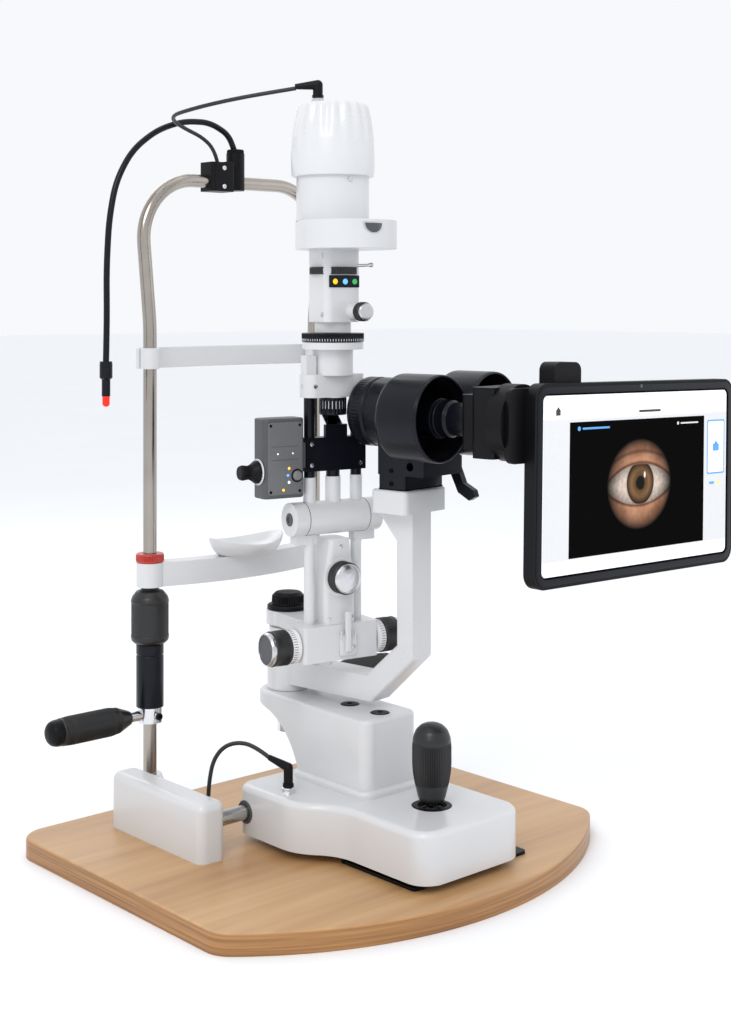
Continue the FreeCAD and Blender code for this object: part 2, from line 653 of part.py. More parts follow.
def lamp_tower():
    m = LAMP_REACH
    drum = rod((-33, -m, DRUM_Z), (1, 0, 0), 16, 66)
    drum = drum.cut(rod((-40, -m, DRUM_Z), (1, 0, 0), 5.06, 80))
    low = DRUM_Z + 13
    for x, radius in ((-ROD_SPREAD, 6), (0, 7.5), (ROD_SPREAD, 6)):
        column_ = rod((x, -m, low), (0, 0, 1), radius, 346 - low)
        drum = drum.fuse(column_)
    drum = drum.cut(rod((-40, -m, DRUM_Z), (1, 0, 0), 5.06, 80))
    keep("tilt_drum", on_arm(drum.removeSplitter(), LAMP_YAW))

    rods = []
    for side in (-1, 1):
        rods.append(rod((side * ROD_SPREAD, -m, 346), (0, 0, 1), 5.4, 76))
    rods.append(rod((0, -m, 346), (0, 0, 1), 6.6, 30))
    rods.append(box(-33, 33, -m - 7, -m + 7, 352, 384))
    rods.append(box(-12, 12, -m - 7, -m - 3, 380, 396))
    keep("mirror_holder", on_arm(fused(*rods), LAMP_YAW))
    mirror = box(-9, 9, -1.2, 1.2, -11, 11)
    mirror.rotate(Vector(0, 0, 0), Vector(1, 0, 0), -45)
    mirror.translate(Vector(0, -m + 1.7, 399))
    keep("slit_mirror", on_arm(mirror, LAMP_YAW))

    box_ = block(-80, -36, -m - 10, -m + 14, 329, 404, 6)
    tongue = box(-37, -33.2, -m - 6, -m + 6, 356, 380)
    keep("control_box", on_arm(fused(box_, tongue), LAMP_YAW))
    dial = turned([(0, 0.4), (11, 0.4), (11, 3), (6.5, 10), (7, 18), (6, 20), (0, 20)],
                  (-80, -m + 2, 354), (-1, 0, 0))
    keep("control_dial", on_arm(dial, LAMP_YAW))

    bracket = block(-33, 33, -98, -m + 14, 422, 444, 10)
    lug = box(-ROD_SPREAD - 6, -ROD_SPREAD + 5, -m - 5, -m + 6, 443.5, 462)
    bracket = fused(bracket, lug, rod((0, -m, 411), (0, 0, 1), 12.4, 12))
    tube = turned([(8, 443), (19.5, 443), (19.5, 467), (29.5, 468), (29.5, 474.6), (8, 474.6)],
                  (0, -m, 0))
    bracket = bracket.fuse(tube).cut(rod((0, -m, 400), (0, 0, 1), 8, 60)).removeSplitter()
    keep("lamp_bracket", on_arm(bracket, LAMP_YAW))
    ring = turned([(8.3, 475), (30, 475), (30, 483.6), (8.3, 483.6)], (0, -m, 0))
    keep("slit_rotation_ring", on_arm(ring, LAMP_YAW))
    body = block(-19.5, 19.5, -m - 21, -m + 17, 494, 563, 7)
    neck = rod((0, -m, 484), (0, 0, 1), 17.5, 11)
    cut_bore = rod((0, -m, 480), (0, 0, 1), 8, 100)
    knob_bore = rod((11, -m - 30, 504), (0, 1, 0), 3.06, 12)
    boss = cone((11, -m - 20.5, 504), (0, -1, 0), 9, 6.5, 12)
    body = fused(body, neck, boss).cut(cut_bore).cut(rod((11, -m - 40, 504), (0, 1, 0), 3.06, 26))
    keep("filter_housing", on_arm(body, LAMP_YAW))
    knob = turned([(0, -12), (3, -12), (3, 0.4), (8.8, 0.4), (9.2, 2), (9.2, 10), (8, 12), (0, 12)],
                  (11, -m - 32.5, 504), (0, -1, 0))
    keep("filter_knob", on_arm(knob, LAMP_YAW))

    dial_body = rod((0, -m, 563), (0, 0, 1), 36, 27)
    dial_body = dial_body.fuse(rod((0, -m - 27, 563), (0, 0, 1), 47, 27)).removeSplitter()
    dial_body = dial_body.cut(rod((0, -m, 560), (0, 0, 1), 8, 40))
    keep("dial_housing", on_arm(dial_body, LAMP_YAW))
    housing = turned([(30, 590), (35, 590), (35, 640), (30, 640)], (0, -m, 0))
    keep("lamp_housing", on_arm(housing, LAMP_YAW))
    cap = turned([
        (35.3, 633), (40, 633), (40.4, 650), (39.6, 668), (37.4, 685), (34.6, 699), (32.5, 702.5),
        (28, 703.5), (0, 703.5), (0, 700), (27, 700), (32, 690), (35.3, 660),
    ], (0, -m, 0))
    keep("lamp_cap", on_arm(cap, LAMP_YAW))
    lamp = turned([(0, 590), (20, 590), (20, 596), (9, 600), (9, 640), (12, 655), (9, 668), (0, 672)],
                  (0, -m, 0))
    keep("lamp_bulb", on_arm(lamp, LAMP_YAW))
    at = Vector(-12, -m + 8, 703.5)
    turn = FreeCAD.Rotation(Vector(0, 0, 1), -LAMP_YAW)
    way = turn.multVec(Vector(-0.7431, 0.6691, -0.08))
    plug = fused(
        rod((at.x, at.y, at.z), (0, 0, 1), 5.6, 8.5),
        rod((at.x, at.y, at.z + 8.5), (0, 0, 1), 4.8, 10),
        Part.makeSphere(4.8, Vector(at.x, at.y, at.z + 18.5)),
        cone((at.x, at.y, at.z + 18.5), (way.x, way.y, way.z), 4.8, 2.6, 22),
    )
    keep("lamp_plug", on_arm(plug, LAMP_YAW))


def main():
    os.makedirs("parts", exist_ok=True)
    for make in (
        table_board, rails, head_frame, chin_rest, forehead, fixation_lamp, carriage,
        base_housing, column, joystick, base_fittings, cables, lift, microscope_arm,
        microscope, tablet, lamp_arm, lamp_tower,
    ):
        make()
    for name, shape in parts.items():
        if not shape.isValid() or shape.Volume <= 0:
            print("CHECK", name, shape.isValid(), shape.Volume)
        shape.exportStep(os.path.join("parts", name + ".step"))
    print(len(parts), "nodes")


main()
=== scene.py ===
import json
import math

import bmesh
import bpy
import numpy as np
from bpy.props import FloatProperty, FloatVectorProperty, IntProperty, PointerProperty
from mathutils import Matrix

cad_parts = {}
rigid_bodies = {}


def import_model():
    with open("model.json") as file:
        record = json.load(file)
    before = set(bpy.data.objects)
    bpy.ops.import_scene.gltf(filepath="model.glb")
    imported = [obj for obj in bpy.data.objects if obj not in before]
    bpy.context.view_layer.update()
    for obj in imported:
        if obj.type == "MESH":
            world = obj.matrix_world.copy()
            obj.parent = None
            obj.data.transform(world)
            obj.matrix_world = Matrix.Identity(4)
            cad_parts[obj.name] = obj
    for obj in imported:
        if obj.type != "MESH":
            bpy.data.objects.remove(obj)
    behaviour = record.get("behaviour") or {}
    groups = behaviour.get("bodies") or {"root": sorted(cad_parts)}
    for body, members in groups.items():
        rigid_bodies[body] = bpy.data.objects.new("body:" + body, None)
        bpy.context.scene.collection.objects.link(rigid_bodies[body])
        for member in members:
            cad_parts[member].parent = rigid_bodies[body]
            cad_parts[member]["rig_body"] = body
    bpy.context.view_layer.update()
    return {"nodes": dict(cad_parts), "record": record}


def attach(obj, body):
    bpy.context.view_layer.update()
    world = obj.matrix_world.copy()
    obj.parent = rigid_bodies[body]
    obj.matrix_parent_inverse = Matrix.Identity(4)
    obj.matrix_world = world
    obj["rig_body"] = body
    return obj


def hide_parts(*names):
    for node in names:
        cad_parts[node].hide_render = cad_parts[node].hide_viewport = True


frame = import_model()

bl_info = {
    "name": "Slit lamp on a table board",
    "version": (1, 0, 0),
    "blender": (4, 5, 0),
    "location": "3D View > Sidebar > Slit Lamp",
    "description": "Builds the finishes and fine parts of a slit lamp around its packed frame",
    "category": "Add Mesh",
}

NODE_SLOT = {s["node"]: s["material_slot"] for s in frame["record"]["subparts"]}
NODE_BODY = {n: o["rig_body"] for n, o in frame["nodes"].items()}

MM = 0.001
BOARD_TOP = 19.0
SWING = (5.0, 86.0)
LAMP_YAW, SCOPE_YAW, TABLET_YAW = -10.0, 8.0, -8.0
REACH = 88.0
DRUM_Z = 307.0
BLOCK_Z = 187.0
SCOPE_Z = 408.0
BASE_X = 6.0
POST_X, POST_Y = 107.0, 167.0
STICK_Y = -120.0
TABLET_AT = (-42.0, -326.0, 354.0)
TABLET_WIDTH = 288.0
TABLET_LEAN = 1.0
PRISM_X, EYEPIECE_X = 40.5, 32.0
OBJECTIVE_Y, PRISM_Y, EYEPIECE_Y = -107.0, -176.3, -218.4
GRIP_Z = 101.5
CAMERA_AT = (-1.0012, -1.1482, 0.534)
CAMERA_TURN = -42.0
FRAME_SHIFT = -0.207
FLOOR_HALF = 20.0
FULL_TURN = 2 * math.pi


# ---------------------------------------------------------------- places

def seated(points):
    """Millimetres from the board's upper face to metres: (x, y, z + 19) / 1000."""
    return (np.asarray(points, float) + (0, 0, BOARD_TOP)) * MM


def yawed(points, degrees):
    """Turns points about Z: x' = x cos a - y sin a, y' = x sin a + y cos a."""
    a = math.radians(degrees)
    turn = np.array([[math.cos(a), math.sin(a), 0], [-math.sin(a), math.cos(a), 0], [0, 0, 1]])
    return np.asarray(points, float) @ turn


def on_lamp(points):
    """Points drawn about the swing axis, turned to the lamp arm's yaw and seated."""
    return seated(yawed(points, LAMP_YAW) + (SWING[0], SWING[1], 0))


def on_scope(points):
    """Points drawn about the swing axis, turned to the microscope arm's yaw and seated."""
    return seated(yawed(points, SCOPE_YAW) + (SWING[0], SWING[1], 0))


def on_tablet(points):
    """Points on the flat tablet (x across, y behind its face, z up) turned into its place."""
    lean = math.radians(TABLET_LEAN)
    turn = np.array([[math.cos(lean), 0, -math.sin(lean)], [0, 1, 0],
                     [math.sin(lean), 0, math.cos(lean)]])
    return on_scope(yawed(np.asarray(points, float) @ turn, TABLET_YAW) + TABLET_AT)


# ---------------------------------------------------------------- surfaces

def eased(profile, ease, parts=3):
    """Rounds a polyline's corners: each becomes the curve (1-t)^2 a + 2t(1-t) p + t^2 b."""
    p = np.asarray(profile, float)
    before, here, after = p[:-2], p[1:-1], p[2:]
    back, ahead = before - here, after - here
    reach_b = np.linalg.norm(back, axis=1, keepdims=True) + 1e-9
    reach_a = np.linalg.norm(ahead, axis=1, keepdims=True) + 1e-9
    a = here + back * np.minimum(ease / reach_b, 0.45)
    b = here + ahead * np.minimum(ease / reach_a, 0.45)
    t = np.linspace(0, 1, parts + 1)[None, :, None]
    bend = (1 - t) ** 2 * a[:, None] + 2 * t * (1 - t) * here[:, None] + t ** 2 * b[:, None]
    return np.vstack([p[:1], bend.reshape(-1, p.shape[1]), p[-1:]])


def divided(profile, step):
    """Adds points along a polyline so that none are further apart than step."""
    p = np.asarray(profile, float)
    run = np.concatenate([[0], np.cumsum(np.linalg.norm(np.diff(p, axis=0), axis=1))])
    at = np.unique(np.round(np.concatenate([run, np.arange(0, run[-1], step)]), 6))
    return np.stack([np.interp(at, run, p[:, k]) for k in range(p.shape[1])], axis=1)


def axes_of(axis):
    """The axis as a unit vector and two more at right angles to it."""
    w = np.asarray(axis, float) / np.linalg.norm(axis)
    side = np.array([1.0, 0, 0]) if abs(w[0]) < 0.8 else np.array([0, 1.0, 0])
    a = side - w * (side @ w)
    a /= np.linalg.norm(a)
    return a, np.cross(w, a), w


def lathe(profile, at=(0, 0, 0), axis=(0, 0, 1), steps=72, ease=0.5, step=None, ripple=None,
          closed=True):
    """A turned surface: at + h w + (r + ripple(t, h)) (cos t a + sin t b) for (r, h) points.
    A profile that starts and ends off the axis is closed into a ring."""
    p = np.asarray(profile, float)
    if p[0, 0] > 0 and p[-1, 0] > 0 and closed:
        p = np.vstack([p, p[:1]])
    p = eased(p, ease)
    if step:
        p = divided(p, step)
    t = np.linspace(0, FULL_TURN, steps, endpoint=False)[None, :]
    r, h = p[:, :1] + 0 * t, p[:, 1:] + 0 * t
    if ripple is not None:
        r = np.maximum(r + ripple(t, h) * (r > 0.5), 0)
    a, b, w = axes_of(axis)
    around = np.cos(t)[..., None] * a + np.sin(t)[..., None] * b
    return np.asarray(at, float) + h[..., None] * w + r[..., None] * around


def band(h, low, high, soft=0.6):
    """1 between low and high, falling straight to 0 over soft millimetres inside them."""
    return np.clip((h - low) / soft, 0, 1) * np.clip((high - h) / soft, 0, 1)


def fluted(count, depth, low, high):
    """Straight grooves: the radius falls by depth (1 - cos n t) / 2 between low and high."""
    return lambda t, h: -depth * 0.5 * (1 - np.cos(count * t)) * band(h, low, high)


def crossed(count, depth, pitch, low, high):
    """Crossed grooves: two waves, n t + k h and n t - k h, cut the radius in diamonds."""
    k = FULL_TURN / pitch
    return lambda t, h: -depth * 0.25 * band(h, low, high) * (
        2 - np.cos(count * t + k * h) - np.cos(count * t - k * h))


def brick(x0, x1, y0, y1, z0, z1, round_=1.0, n=4):
    """A rounded box: centre + sign(s) (half - r) + r s, for every direction s on a sphere."""
    quarter = np.linspace(1e-4, math.pi / 2 - 1e-4, n + 1)
    t = np.concatenate([quarter + k * math.pi / 2 for k in range(4)])[None, :]
    f = np.concatenate([quarter - math.pi / 2, quarter])[:, None]
    s = np.stack([np.cos(f) * np.cos(t), np.cos(f) * np.sin(t), np.sin(f) + 0 * t], axis=-1)
    half = np.array([x1 - x0, y1 - y0, z1 - z0]) / 2
    centre = np.array([x1 + x0, y1 + y0, z1 + z0]) / 2
    r = min(round_, half.min() * 0.98)
    return centre + np.sign(s) * (half - r) + r * s


def outline_slab(outline, low, high, ease=0.6, n=3):
    """A plate with a rounded rim: the outline moves in by e (1 - sin q) as it nears each face."""
    o = np.asarray(outline, float)
    along = np.roll(o, -1, axis=0) - np.roll(o, 1, axis=0)
    along /= np.linalg.norm(along, axis=1, keepdims=True) + 1e-12
    inward = np.stack([-along[:, 1], along[:, 0]], axis=1)
    area = 0.5 * np.sum(o[:, 0] * np.roll(o[:, 1], -1) - o[:, 1] * np.roll(o[:, 0], -1))
    inward *= np.sign(area)
    q = np.linspace(0, math.pi / 2, n + 1)
    shift = np.concatenate([ease * (1 - np.sin(q)), ease * (1 - np.sin(q[::-1]))])
    height = np.concatenate([low + ease * (1 - np.cos(q)), high - ease * (1 - np.cos(q[::-1]))])
    plan = o[None] + inward[None] * shift[:, None, None]
    return np.concatenate([plan, np.broadcast_to(height[:, None, None], plan.shape[:2] + (1,))], -1)


def stadium(x0, x1, y0, y1, corner, n=6):
    """A rectangle with round corners, as one loop of points."""
    q = np.linspace(0, math.pi / 2, n + 1)
    loops = []
    for k, (cx, cy) in enumerate(((x1, y1), (x0, y1), (x0, y0), (x1, y0))):
        sx, sy = (1 if cx == x1 else -1), (1 if cy == y1 else -1)
        a = q + k * math.pi / 2
        loops.append(np.stack([cx - sx * corner + corner * np.cos(a),
                               cy - sy * corner + corner * np.sin(a)], axis=1))
    return np.vstack(loops)


def on_face(grid, y):
    """Stands a plate of points (x, y, z) against the face y = Y: each becomes (x, Y - z, y)."""
    return np.stack([grid[..., 0], y - grid[..., 2], grid[..., 1]], axis=-1)


def socket_screw(at, axis, radius, height, drive=0.45):
    """A round head whose socket's wall follows a hexagon: r = f / cos((t mod 60) - 30)."""
    t = np.linspace(0, FULL_TURN, 36, endpoint=False)
    hexed = drive * radius / np.cos(np.mod(t, math.pi / 3) - math.pi / 6)
    rows = [(radius, 0), (radius, height * 0.8), (radius * 0.94, height), (None, height),
            (None, height * 0.25), (0, height * 0.25)]
    a, b, w = axes_of(axis)
    r = np.stack([hexed if row[0] is None else np.full_like(t, row[0]) for row in rows])
    h = np.array([row[1] for row in rows])[:, None, None]
    around = np.cos(t)[:, None] * a + np.sin(t)[:, None] * b
    return np.asarray(at, float) + h * w + r[..., None] * around[None]


def slot_screw(at, axis, radius, height, turn=0.6):
    """A low domed head with a straight slot, sunk where |x| is under a sixth of the radius."""
    u = np.linspace(0, 1, 15)[:, None]
    t = np.linspace(0, FULL_TURN, 48, endpoint=False)[None, :]
    x = np.abs(u * np.cos(t - turn))
    sink = 0.6 * height * np.clip((0.2 - x) / 0.06, 0, 1)
    h = height * (1 - 0.25 * u ** 2) - sink
    a, b, w = axes_of(axis)
    around = np.cos(t)[..., None] * a + np.sin(t)[..., None] * b
    top = np.asarray(at, float) + h[..., None] * w + (radius * u)[..., None] * around
    foot = top[-1:] - (top[-1:] - np.asarray(at, float)) @ w[:, None] * w
    return np.concatenate([top, foot])


def ring_marks(count, radius, low, high, width, at, axis, proud=0.15):
    """Small curved marks round a ring, each a rounded brick bent to the ring's surface."""
    marks = []
    for i in range(count):
        t0 = FULL_TURN * i / count
        g = brick(-width / 2, width / 2, -proud, proud, low, high, 0.1, 1)
        t = t0 + g[..., 0] / radius
        a, b, w = axes_of(axis)
        r = (radius + g[..., 1])[..., None]
        around = np.cos(t)[..., None] * a + np.sin(t)[..., None] * b
        marks.append(np.asarray(at, float) + g[..., 2:] * w + r * around)
    return marks


# ---------------------------------------------------------------- building

def weld(mesh, fill=True, recalc=True):
    """Joins points that coincide, closes open rims and points every face outwards."""
    bm = bmesh.new()
    bm.from_mesh(mesh)
    bmesh.ops.remove_doubles(bm, verts=bm.verts, dist=2e-6)
    if fill:
        rims = [e for e in bm.edges if e.is_boundary]
        if rims:
            bmesh.ops.holes_fill(bm, edges=rims, sides=0)
    if recalc:
        bmesh.ops.recalc_face_normals(bm, faces=bm.faces)
    bm.to_mesh(mesh)
    bm.free()


def build(name, grids, body, finish, slot, place=seated, nodes=(), sharp=38, fill=True, wrap=True):
    """Joins each grid P[row, column] into quads (i, j), (i, j+1), (i+1, j+1), (i+1, j)."""
    grids = [grids] if isinstance(grids, np.ndarray) else grids
    points, faces, first = [], [], 0
    for grid in grids:
        rows, cols = grid.shape[:2]
        i, j = np.meshgrid(np.arange(rows - 1), np.arange(cols if wrap else cols - 1),
                           indexing="ij")
        k = (j + 1) % cols
        quads = np.stack([i * cols + j, i * cols + k, (i + 1) * cols + k, (i + 1) * cols + j], -1)
        faces.append(quads.reshape(-1, 4) + first)
        points.append(place(grid.reshape(-1, 3)))
        first += rows * cols
    mesh = bpy.data.meshes.new(name)
    mesh.from_pydata(np.vstack(points).tolist(), [], np.vstack(faces).tolist())
    weld(mesh, fill)
    return finished(name, mesh, body, finish, slot, nodes, sharp)


def finished(name, mesh, body, finish, slot, nodes=(), sharp=38):
    """Gives a mesh its object, smooth shading, finish and body; its slot argument is not used."""
    mesh.materials.clear()
    mesh.materials.append(FINISH[finish])
    mesh.shade_smooth()
    mesh.set_sharp_from_angle(angle=math.radians(sharp))
    piece = bpy.data.objects.new(name, mesh)
    bpy.context.scene.collection.objects.link(piece)
    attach(piece, body)
    if nodes:
        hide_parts(*nodes)
    return piece


def dress(node, finish, bevel=0.0, sharp=33):
    """A welded copy of a CAD node, smooth between its real edges, that stands for it."""
    mesh = frame["nodes"][node].data.copy()
    if mesh.attributes.get("custom_normal"):
        mesh.attributes.remove(mesh.attributes["custom_normal"])
    weld(mesh, fill=False, recalc=False)
    piece = finished(node + "_skin", mesh, NODE_BODY[node], finish, NODE_SLOT[node], (node,), sharp)
    if bevel:
        rim = piece.modifiers.new("Rim", "BEVEL")
        rim.width = bevel * MM
        rim.segments = 2
        rim.limit_method = "ANGLE"
        rim.angle_limit = math.radians(40)
        rim.harden_normals = True
    return piece


# ---------------------------------------------------------------- finishes

FINISH = {}


class Nodes:
    """A short way to lay out one material's nodes."""

    def __init__(self, name):
        self.material = bpy.data.materials.new(name)
        self.material.use_nodes = True
        self.tree = self.material.node_tree
        self.shader = self.tree.nodes["Principled BSDF"]
        FINISH[name] = self.material

    def add(self, kind, inputs=(), **settings):
        node = self.tree.nodes.new(kind)
        for key, value in settings.items():
            setattr(node, key, value)
        for key, value in dict(inputs).items():
            if isinstance(value, bpy.types.NodeSocket):
                self.tree.links.new(value, node.inputs[key])
            else:
                node.inputs[key].default_value = value
        return node

    def set(self, **values):
        for key, value in values.items():
            socket = self.shader.inputs[key.replace("_", " ")]
            if isinstance(value, bpy.types.NodeSocket):
                self.tree.links.new(value, socket)
            else:
                socket.default_value = value

    def place(self, scale=(1, 1, 1), location=(0, 0, 0)):
        coordinates = self.add("ShaderNodeTexCoord")
        inputs = {"Vector": coordinates.outputs["Object"], "Scale": scale, "Location": location}
        return self.add("ShaderNodeMapping", inputs).outputs["Vector"]

    def noise(self, vector, scale, detail=3.0, roughness=0.5):
        inputs = {"Vector": vector, "Scale": scale, "Detail": detail, "Roughness": roughness}
        return self.add("ShaderNodeTexNoise", inputs).outputs["Fac"]

    def ramp(self, factor, stops):
        node = self.add("ShaderNodeValToRGB", {"Fac": factor})
        while len(node.color_ramp.elements) < len(stops):
            node.color_ramp.elements.new(0.5)
        for element, (position, colour) in zip(node.color_ramp.elements, stops):
            element.position = position
            element.color = (*colour, 1)
        return node.outputs["Color"]

    def fit(self, factor, low, high, source=(0.3, 0.7)):
        inputs = {"Value": factor, "From Min": source[0], "From Max": source[1],
                  "To Min": low, "To Max": high}
        return self.add("ShaderNodeMapRange", inputs).outputs["Result"]

    def bump(self, height, strength, distance):
        inputs = {"Height": height, "Strength": strength, "Distance": distance}
        return self.add("ShaderNodeBump", inputs).outputs["Normal"]

    def math(self, operation, a, b=0.0):
        node = self.add("ShaderNodeMath", operation=operation)
        for socket, value in zip(node.inputs, (a, b)):
            if isinstance(value, bpy.types.NodeSocket):
                self.tree.links.new(value, socket)
            else:
                socket.default_value = value
        return node.outputs[0]


def coated(name, colour, shade, rough=(0.3, 0.4), metal=0.0, coat=0.0, grain=900.0, depth=0.00004,
           cloud=9.0, strength=0.25, specular=0.5):
    """A painted, moulded or metal finish: clouded colour and gloss over a fine grain."""
    m = Nodes(name)
    where = m.place()
    clouds = m.noise(where, cloud, 4.0, 0.55)
    fine = m.noise(where, grain, 2.0, 0.6)
    m.set(Base_Color=m.ramp(clouds, [(0.35, shade), (0.62, colour)]),
          Roughness=m.fit(m.math("ADD", m.math("MULTIPLY", clouds, 0.6),
                                 m.math("MULTIPLY", fine, 0.4)),
                          rough[0], rough[1]),
          Metallic=metal, Coat_Weight=coat, Coat_Roughness=0.12,
          Normal=m.bump(fine, strength, depth), Specular_IOR_Level=specular)
    return m


def glowing(name, colour, strength, specular=0.15):
    """A small lit lamp: an even glow, clouded very slightly by its own noise."""
    m = Nodes(name)
    clouds = m.noise(m.place(), 300.0)
    colour_out = m.ramp(clouds, [(0.3, tuple(c * 0.97 for c in colour)), (0.7, colour)])
    m.set(Base_Color=colour_out, Emission_Color=colour_out, Emission_Strength=strength,
          Roughness=0.4, Specular_IOR_Level=specular)


def maple_finish():
    """Wood: long noise grain along X, darker growth lines, and on the side faces a tighter grain
    darkened by painted shade.
    """
    m = Nodes("maple")
    long_grain = m.noise(m.place((2.2, 38.0, 38.0)), 1.6, 6.0, 0.6)
    bands = m.noise(m.place((0.9, 7.0, 7.0), (0.3, 0.2, 0)), 1.3, 3.0, 0.5)
    pores = m.noise(m.place((30.0, 900.0, 900.0)), 1.0, 2.0, 0.5)
    wood = m.ramp(m.math("ADD", m.math("MULTIPLY", long_grain, 0.55),
                         m.math("MULTIPLY", bands, 0.45)),
                  [(0.34, (0.38, 0.195, 0.075)), (0.5, (0.50, 0.285, 0.125)),
                   (0.66, (0.60, 0.37, 0.18))])
    # Painted shade: faces that don't face up get this darker colour. Its tight stripes along Z are
    # the sides' own grain.
    side_grain_and_shade = m.ramp(m.noise(m.place((3.0, 3.0, 260.0)), 1.5, 4.0, 0.6),
                  [(0.35, (0.22, 0.093, 0.022)), (0.65, (0.46, 0.225, 0.07))])
    facing = m.add("ShaderNodeSeparateXYZ",
                   {"Vector": m.add("ShaderNodeNewGeometry").outputs["Normal"]})
    upward = m.fit(facing.outputs["Z"], 0.0, 1.0, (0.35, 0.8))
    mix = m.add("ShaderNodeMix", data_type="RGBA")
    m.tree.links.new(upward, mix.inputs[0])
    m.tree.links.new(side_grain_and_shade, mix.inputs[6])
    m.tree.links.new(wood, mix.inputs[7])
    m.set(Base_Color=mix.outputs[2], Roughness=m.fit(long_grain, 0.34, 0.5), Coat_Weight=0.25,
          Coat_Roughness=0.3, Normal=m.bump(pores, 0.15, 0.0001))


def brushed(name, colour, shade, stretch, rough):
    """Drawn metal: fine scratches stretched along the tube over slow tarnish."""
    m = Nodes(name)
    lines = m.noise(m.place(stretch), 1.0, 3.0, 0.6)
    clouds = m.noise(m.place(), 14.0, 3.0)
    m.set(Base_Color=m.ramp(clouds, [(0.35, shade), (0.65, colour)]), Metallic=1.0,
          Roughness=m.fit(lines, rough[0], rough[1]), Normal=m.bump(lines, 0.05, 0.00001))


def eye_finish():
    """A generic eye inside an oval: elliptical distances choose its pupil, iris, white and lid."""
    m = Nodes("eye_picture")
    centre = on_tablet(np.array([[EYE_AT[0], 0.0, EYE_AT[1]]]))[0]
    turn = math.radians(SCOPE_YAW + TABLET_YAW)
    moved = m.add("ShaderNodeVectorMath", {0: m.add("ShaderNodeTexCoord").outputs["Object"],
                                           1: tuple(centre)}, operation="SUBTRACT")
    flat = m.add("ShaderNodeMapping", {"Vector": moved.outputs[0], "Rotation": (0, 0, -turn),
                                       "Scale": (100, 100, 100)}).outputs["Vector"]
    part = m.add("ShaderNodeSeparateXYZ", {"Vector": flat})
    x, z = part.outputs["X"], part.outputs["Z"]

    def away(cx, cz, wide, high):
        """The elliptical distance sqrt(((x - cx) / w)^2 + ((z - cz) / h)^2)."""
        dx = m.math("DIVIDE", m.math("SUBTRACT", x, cx), wide)
        dz = m.math("DIVIDE", m.math("SUBTRACT", z, cz), high)
        return m.math("SQRT", m.math("ADD", m.math("MULTIPLY", dx, dx), m.math("MULTIPLY", dz, dz)))

    def mixed(factor, a, b):
        mix = m.add("ShaderNodeMix", data_type="RGBA")
        for socket, value in ((mix.inputs[0], factor), (mix.inputs[6], a), (mix.inputs[7], b)):
            if isinstance(value, bpy.types.NodeSocket):
                m.tree.links.new(value, socket)
            else:
                socket.default_value = (*value, 1)
        return mix.outputs[2]

    fibres = m.noise(flat, 2.6, 6.0, 0.7)
    skin = m.ramp(m.noise(flat, 0.5, 6.0, 0.62), [(0.35, (0.36, 0.155, 0.085)),
                                                  (0.65, (0.55, 0.29, 0.18))])
    white = m.ramp(fibres, [(0.38, (0.56, 0.42, 0.35)), (0.58, (0.68, 0.60, 0.53))])
    streaks = m.math("ADD", away(0.1, 0.1, 2.05, 2.05), m.math("MULTIPLY", fibres, 0.16))
    iris = m.ramp(streaks, [(0.36, (0.006, 0.006, 0.006)), (0.42, (0.10, 0.05, 0.02)),
                            (0.72, (0.21, 0.115, 0.05)), (0.96, (0.07, 0.038, 0.018)),
                            (1.0, (0.03, 0.018, 0.012))])
    inside_iris = m.fit(away(0.1, 0.1, 2.05, 2.05), 1.0, 0.0, (0.94, 1.0))
    lid = m.math("MAXIMUM", away(0.0, -3.6, 6.6, 5.5), away(0.0, 3.5, 6.8, 5.4))
    inside_lids = m.fit(lid, 1.0, 0.0, (0.975, 1.0))
    fold = m.fit(m.math("ABSOLUTE", m.math("SUBTRACT", away(0.0, -3.6, 6.6, 5.5), 1.2)), 0.45, 1.0,
                 (0.0, 0.05))
    rim = m.fit(m.math("ABSOLUTE", m.math("SUBTRACT", lid, 1.01)), 0.22, 1.0, (0.0, 0.045))
    crease = m.math("MULTIPLY", rim, m.math("MAXIMUM", fold, m.fit(z, 1.0, 0.0, (-0.4, 0.6))))
    vignette = m.fit(away(0, 0, 4.6, 4.1), 1.0, 0.0, (0.6, 1.0))
    glint = m.fit(away(0.75, 0.8, 0.16, 0.34), 1.0, 0.0, (0.7, 1.0))
    eyeball = mixed(inside_iris, white, iris)
    lid_shade = m.fit(lid, 1.0, 0.45, (0.8, 1.0))
    shaded_ball = m.add("ShaderNodeVectorMath", {0: eyeball, "Scale": lid_shade},
                        operation="SCALE").outputs[0]
    shaded_skin = m.add("ShaderNodeVectorMath", {0: skin, "Scale": crease},
                        operation="SCALE").outputs[0]
    face = mixed(glint, mixed(inside_lids, shaded_skin, shaded_ball), (0.8, 0.8, 0.8))
    lit = m.add("ShaderNodeVectorMath", {0: face, "Scale": vignette}, operation="SCALE").outputs[0]
    m.set(Base_Color=(0.01, 0.01, 0.01, 1), Emission_Color=lit, Emission_Strength=1.2,
          Roughness=0.4, Specular_IOR_Level=0.0)


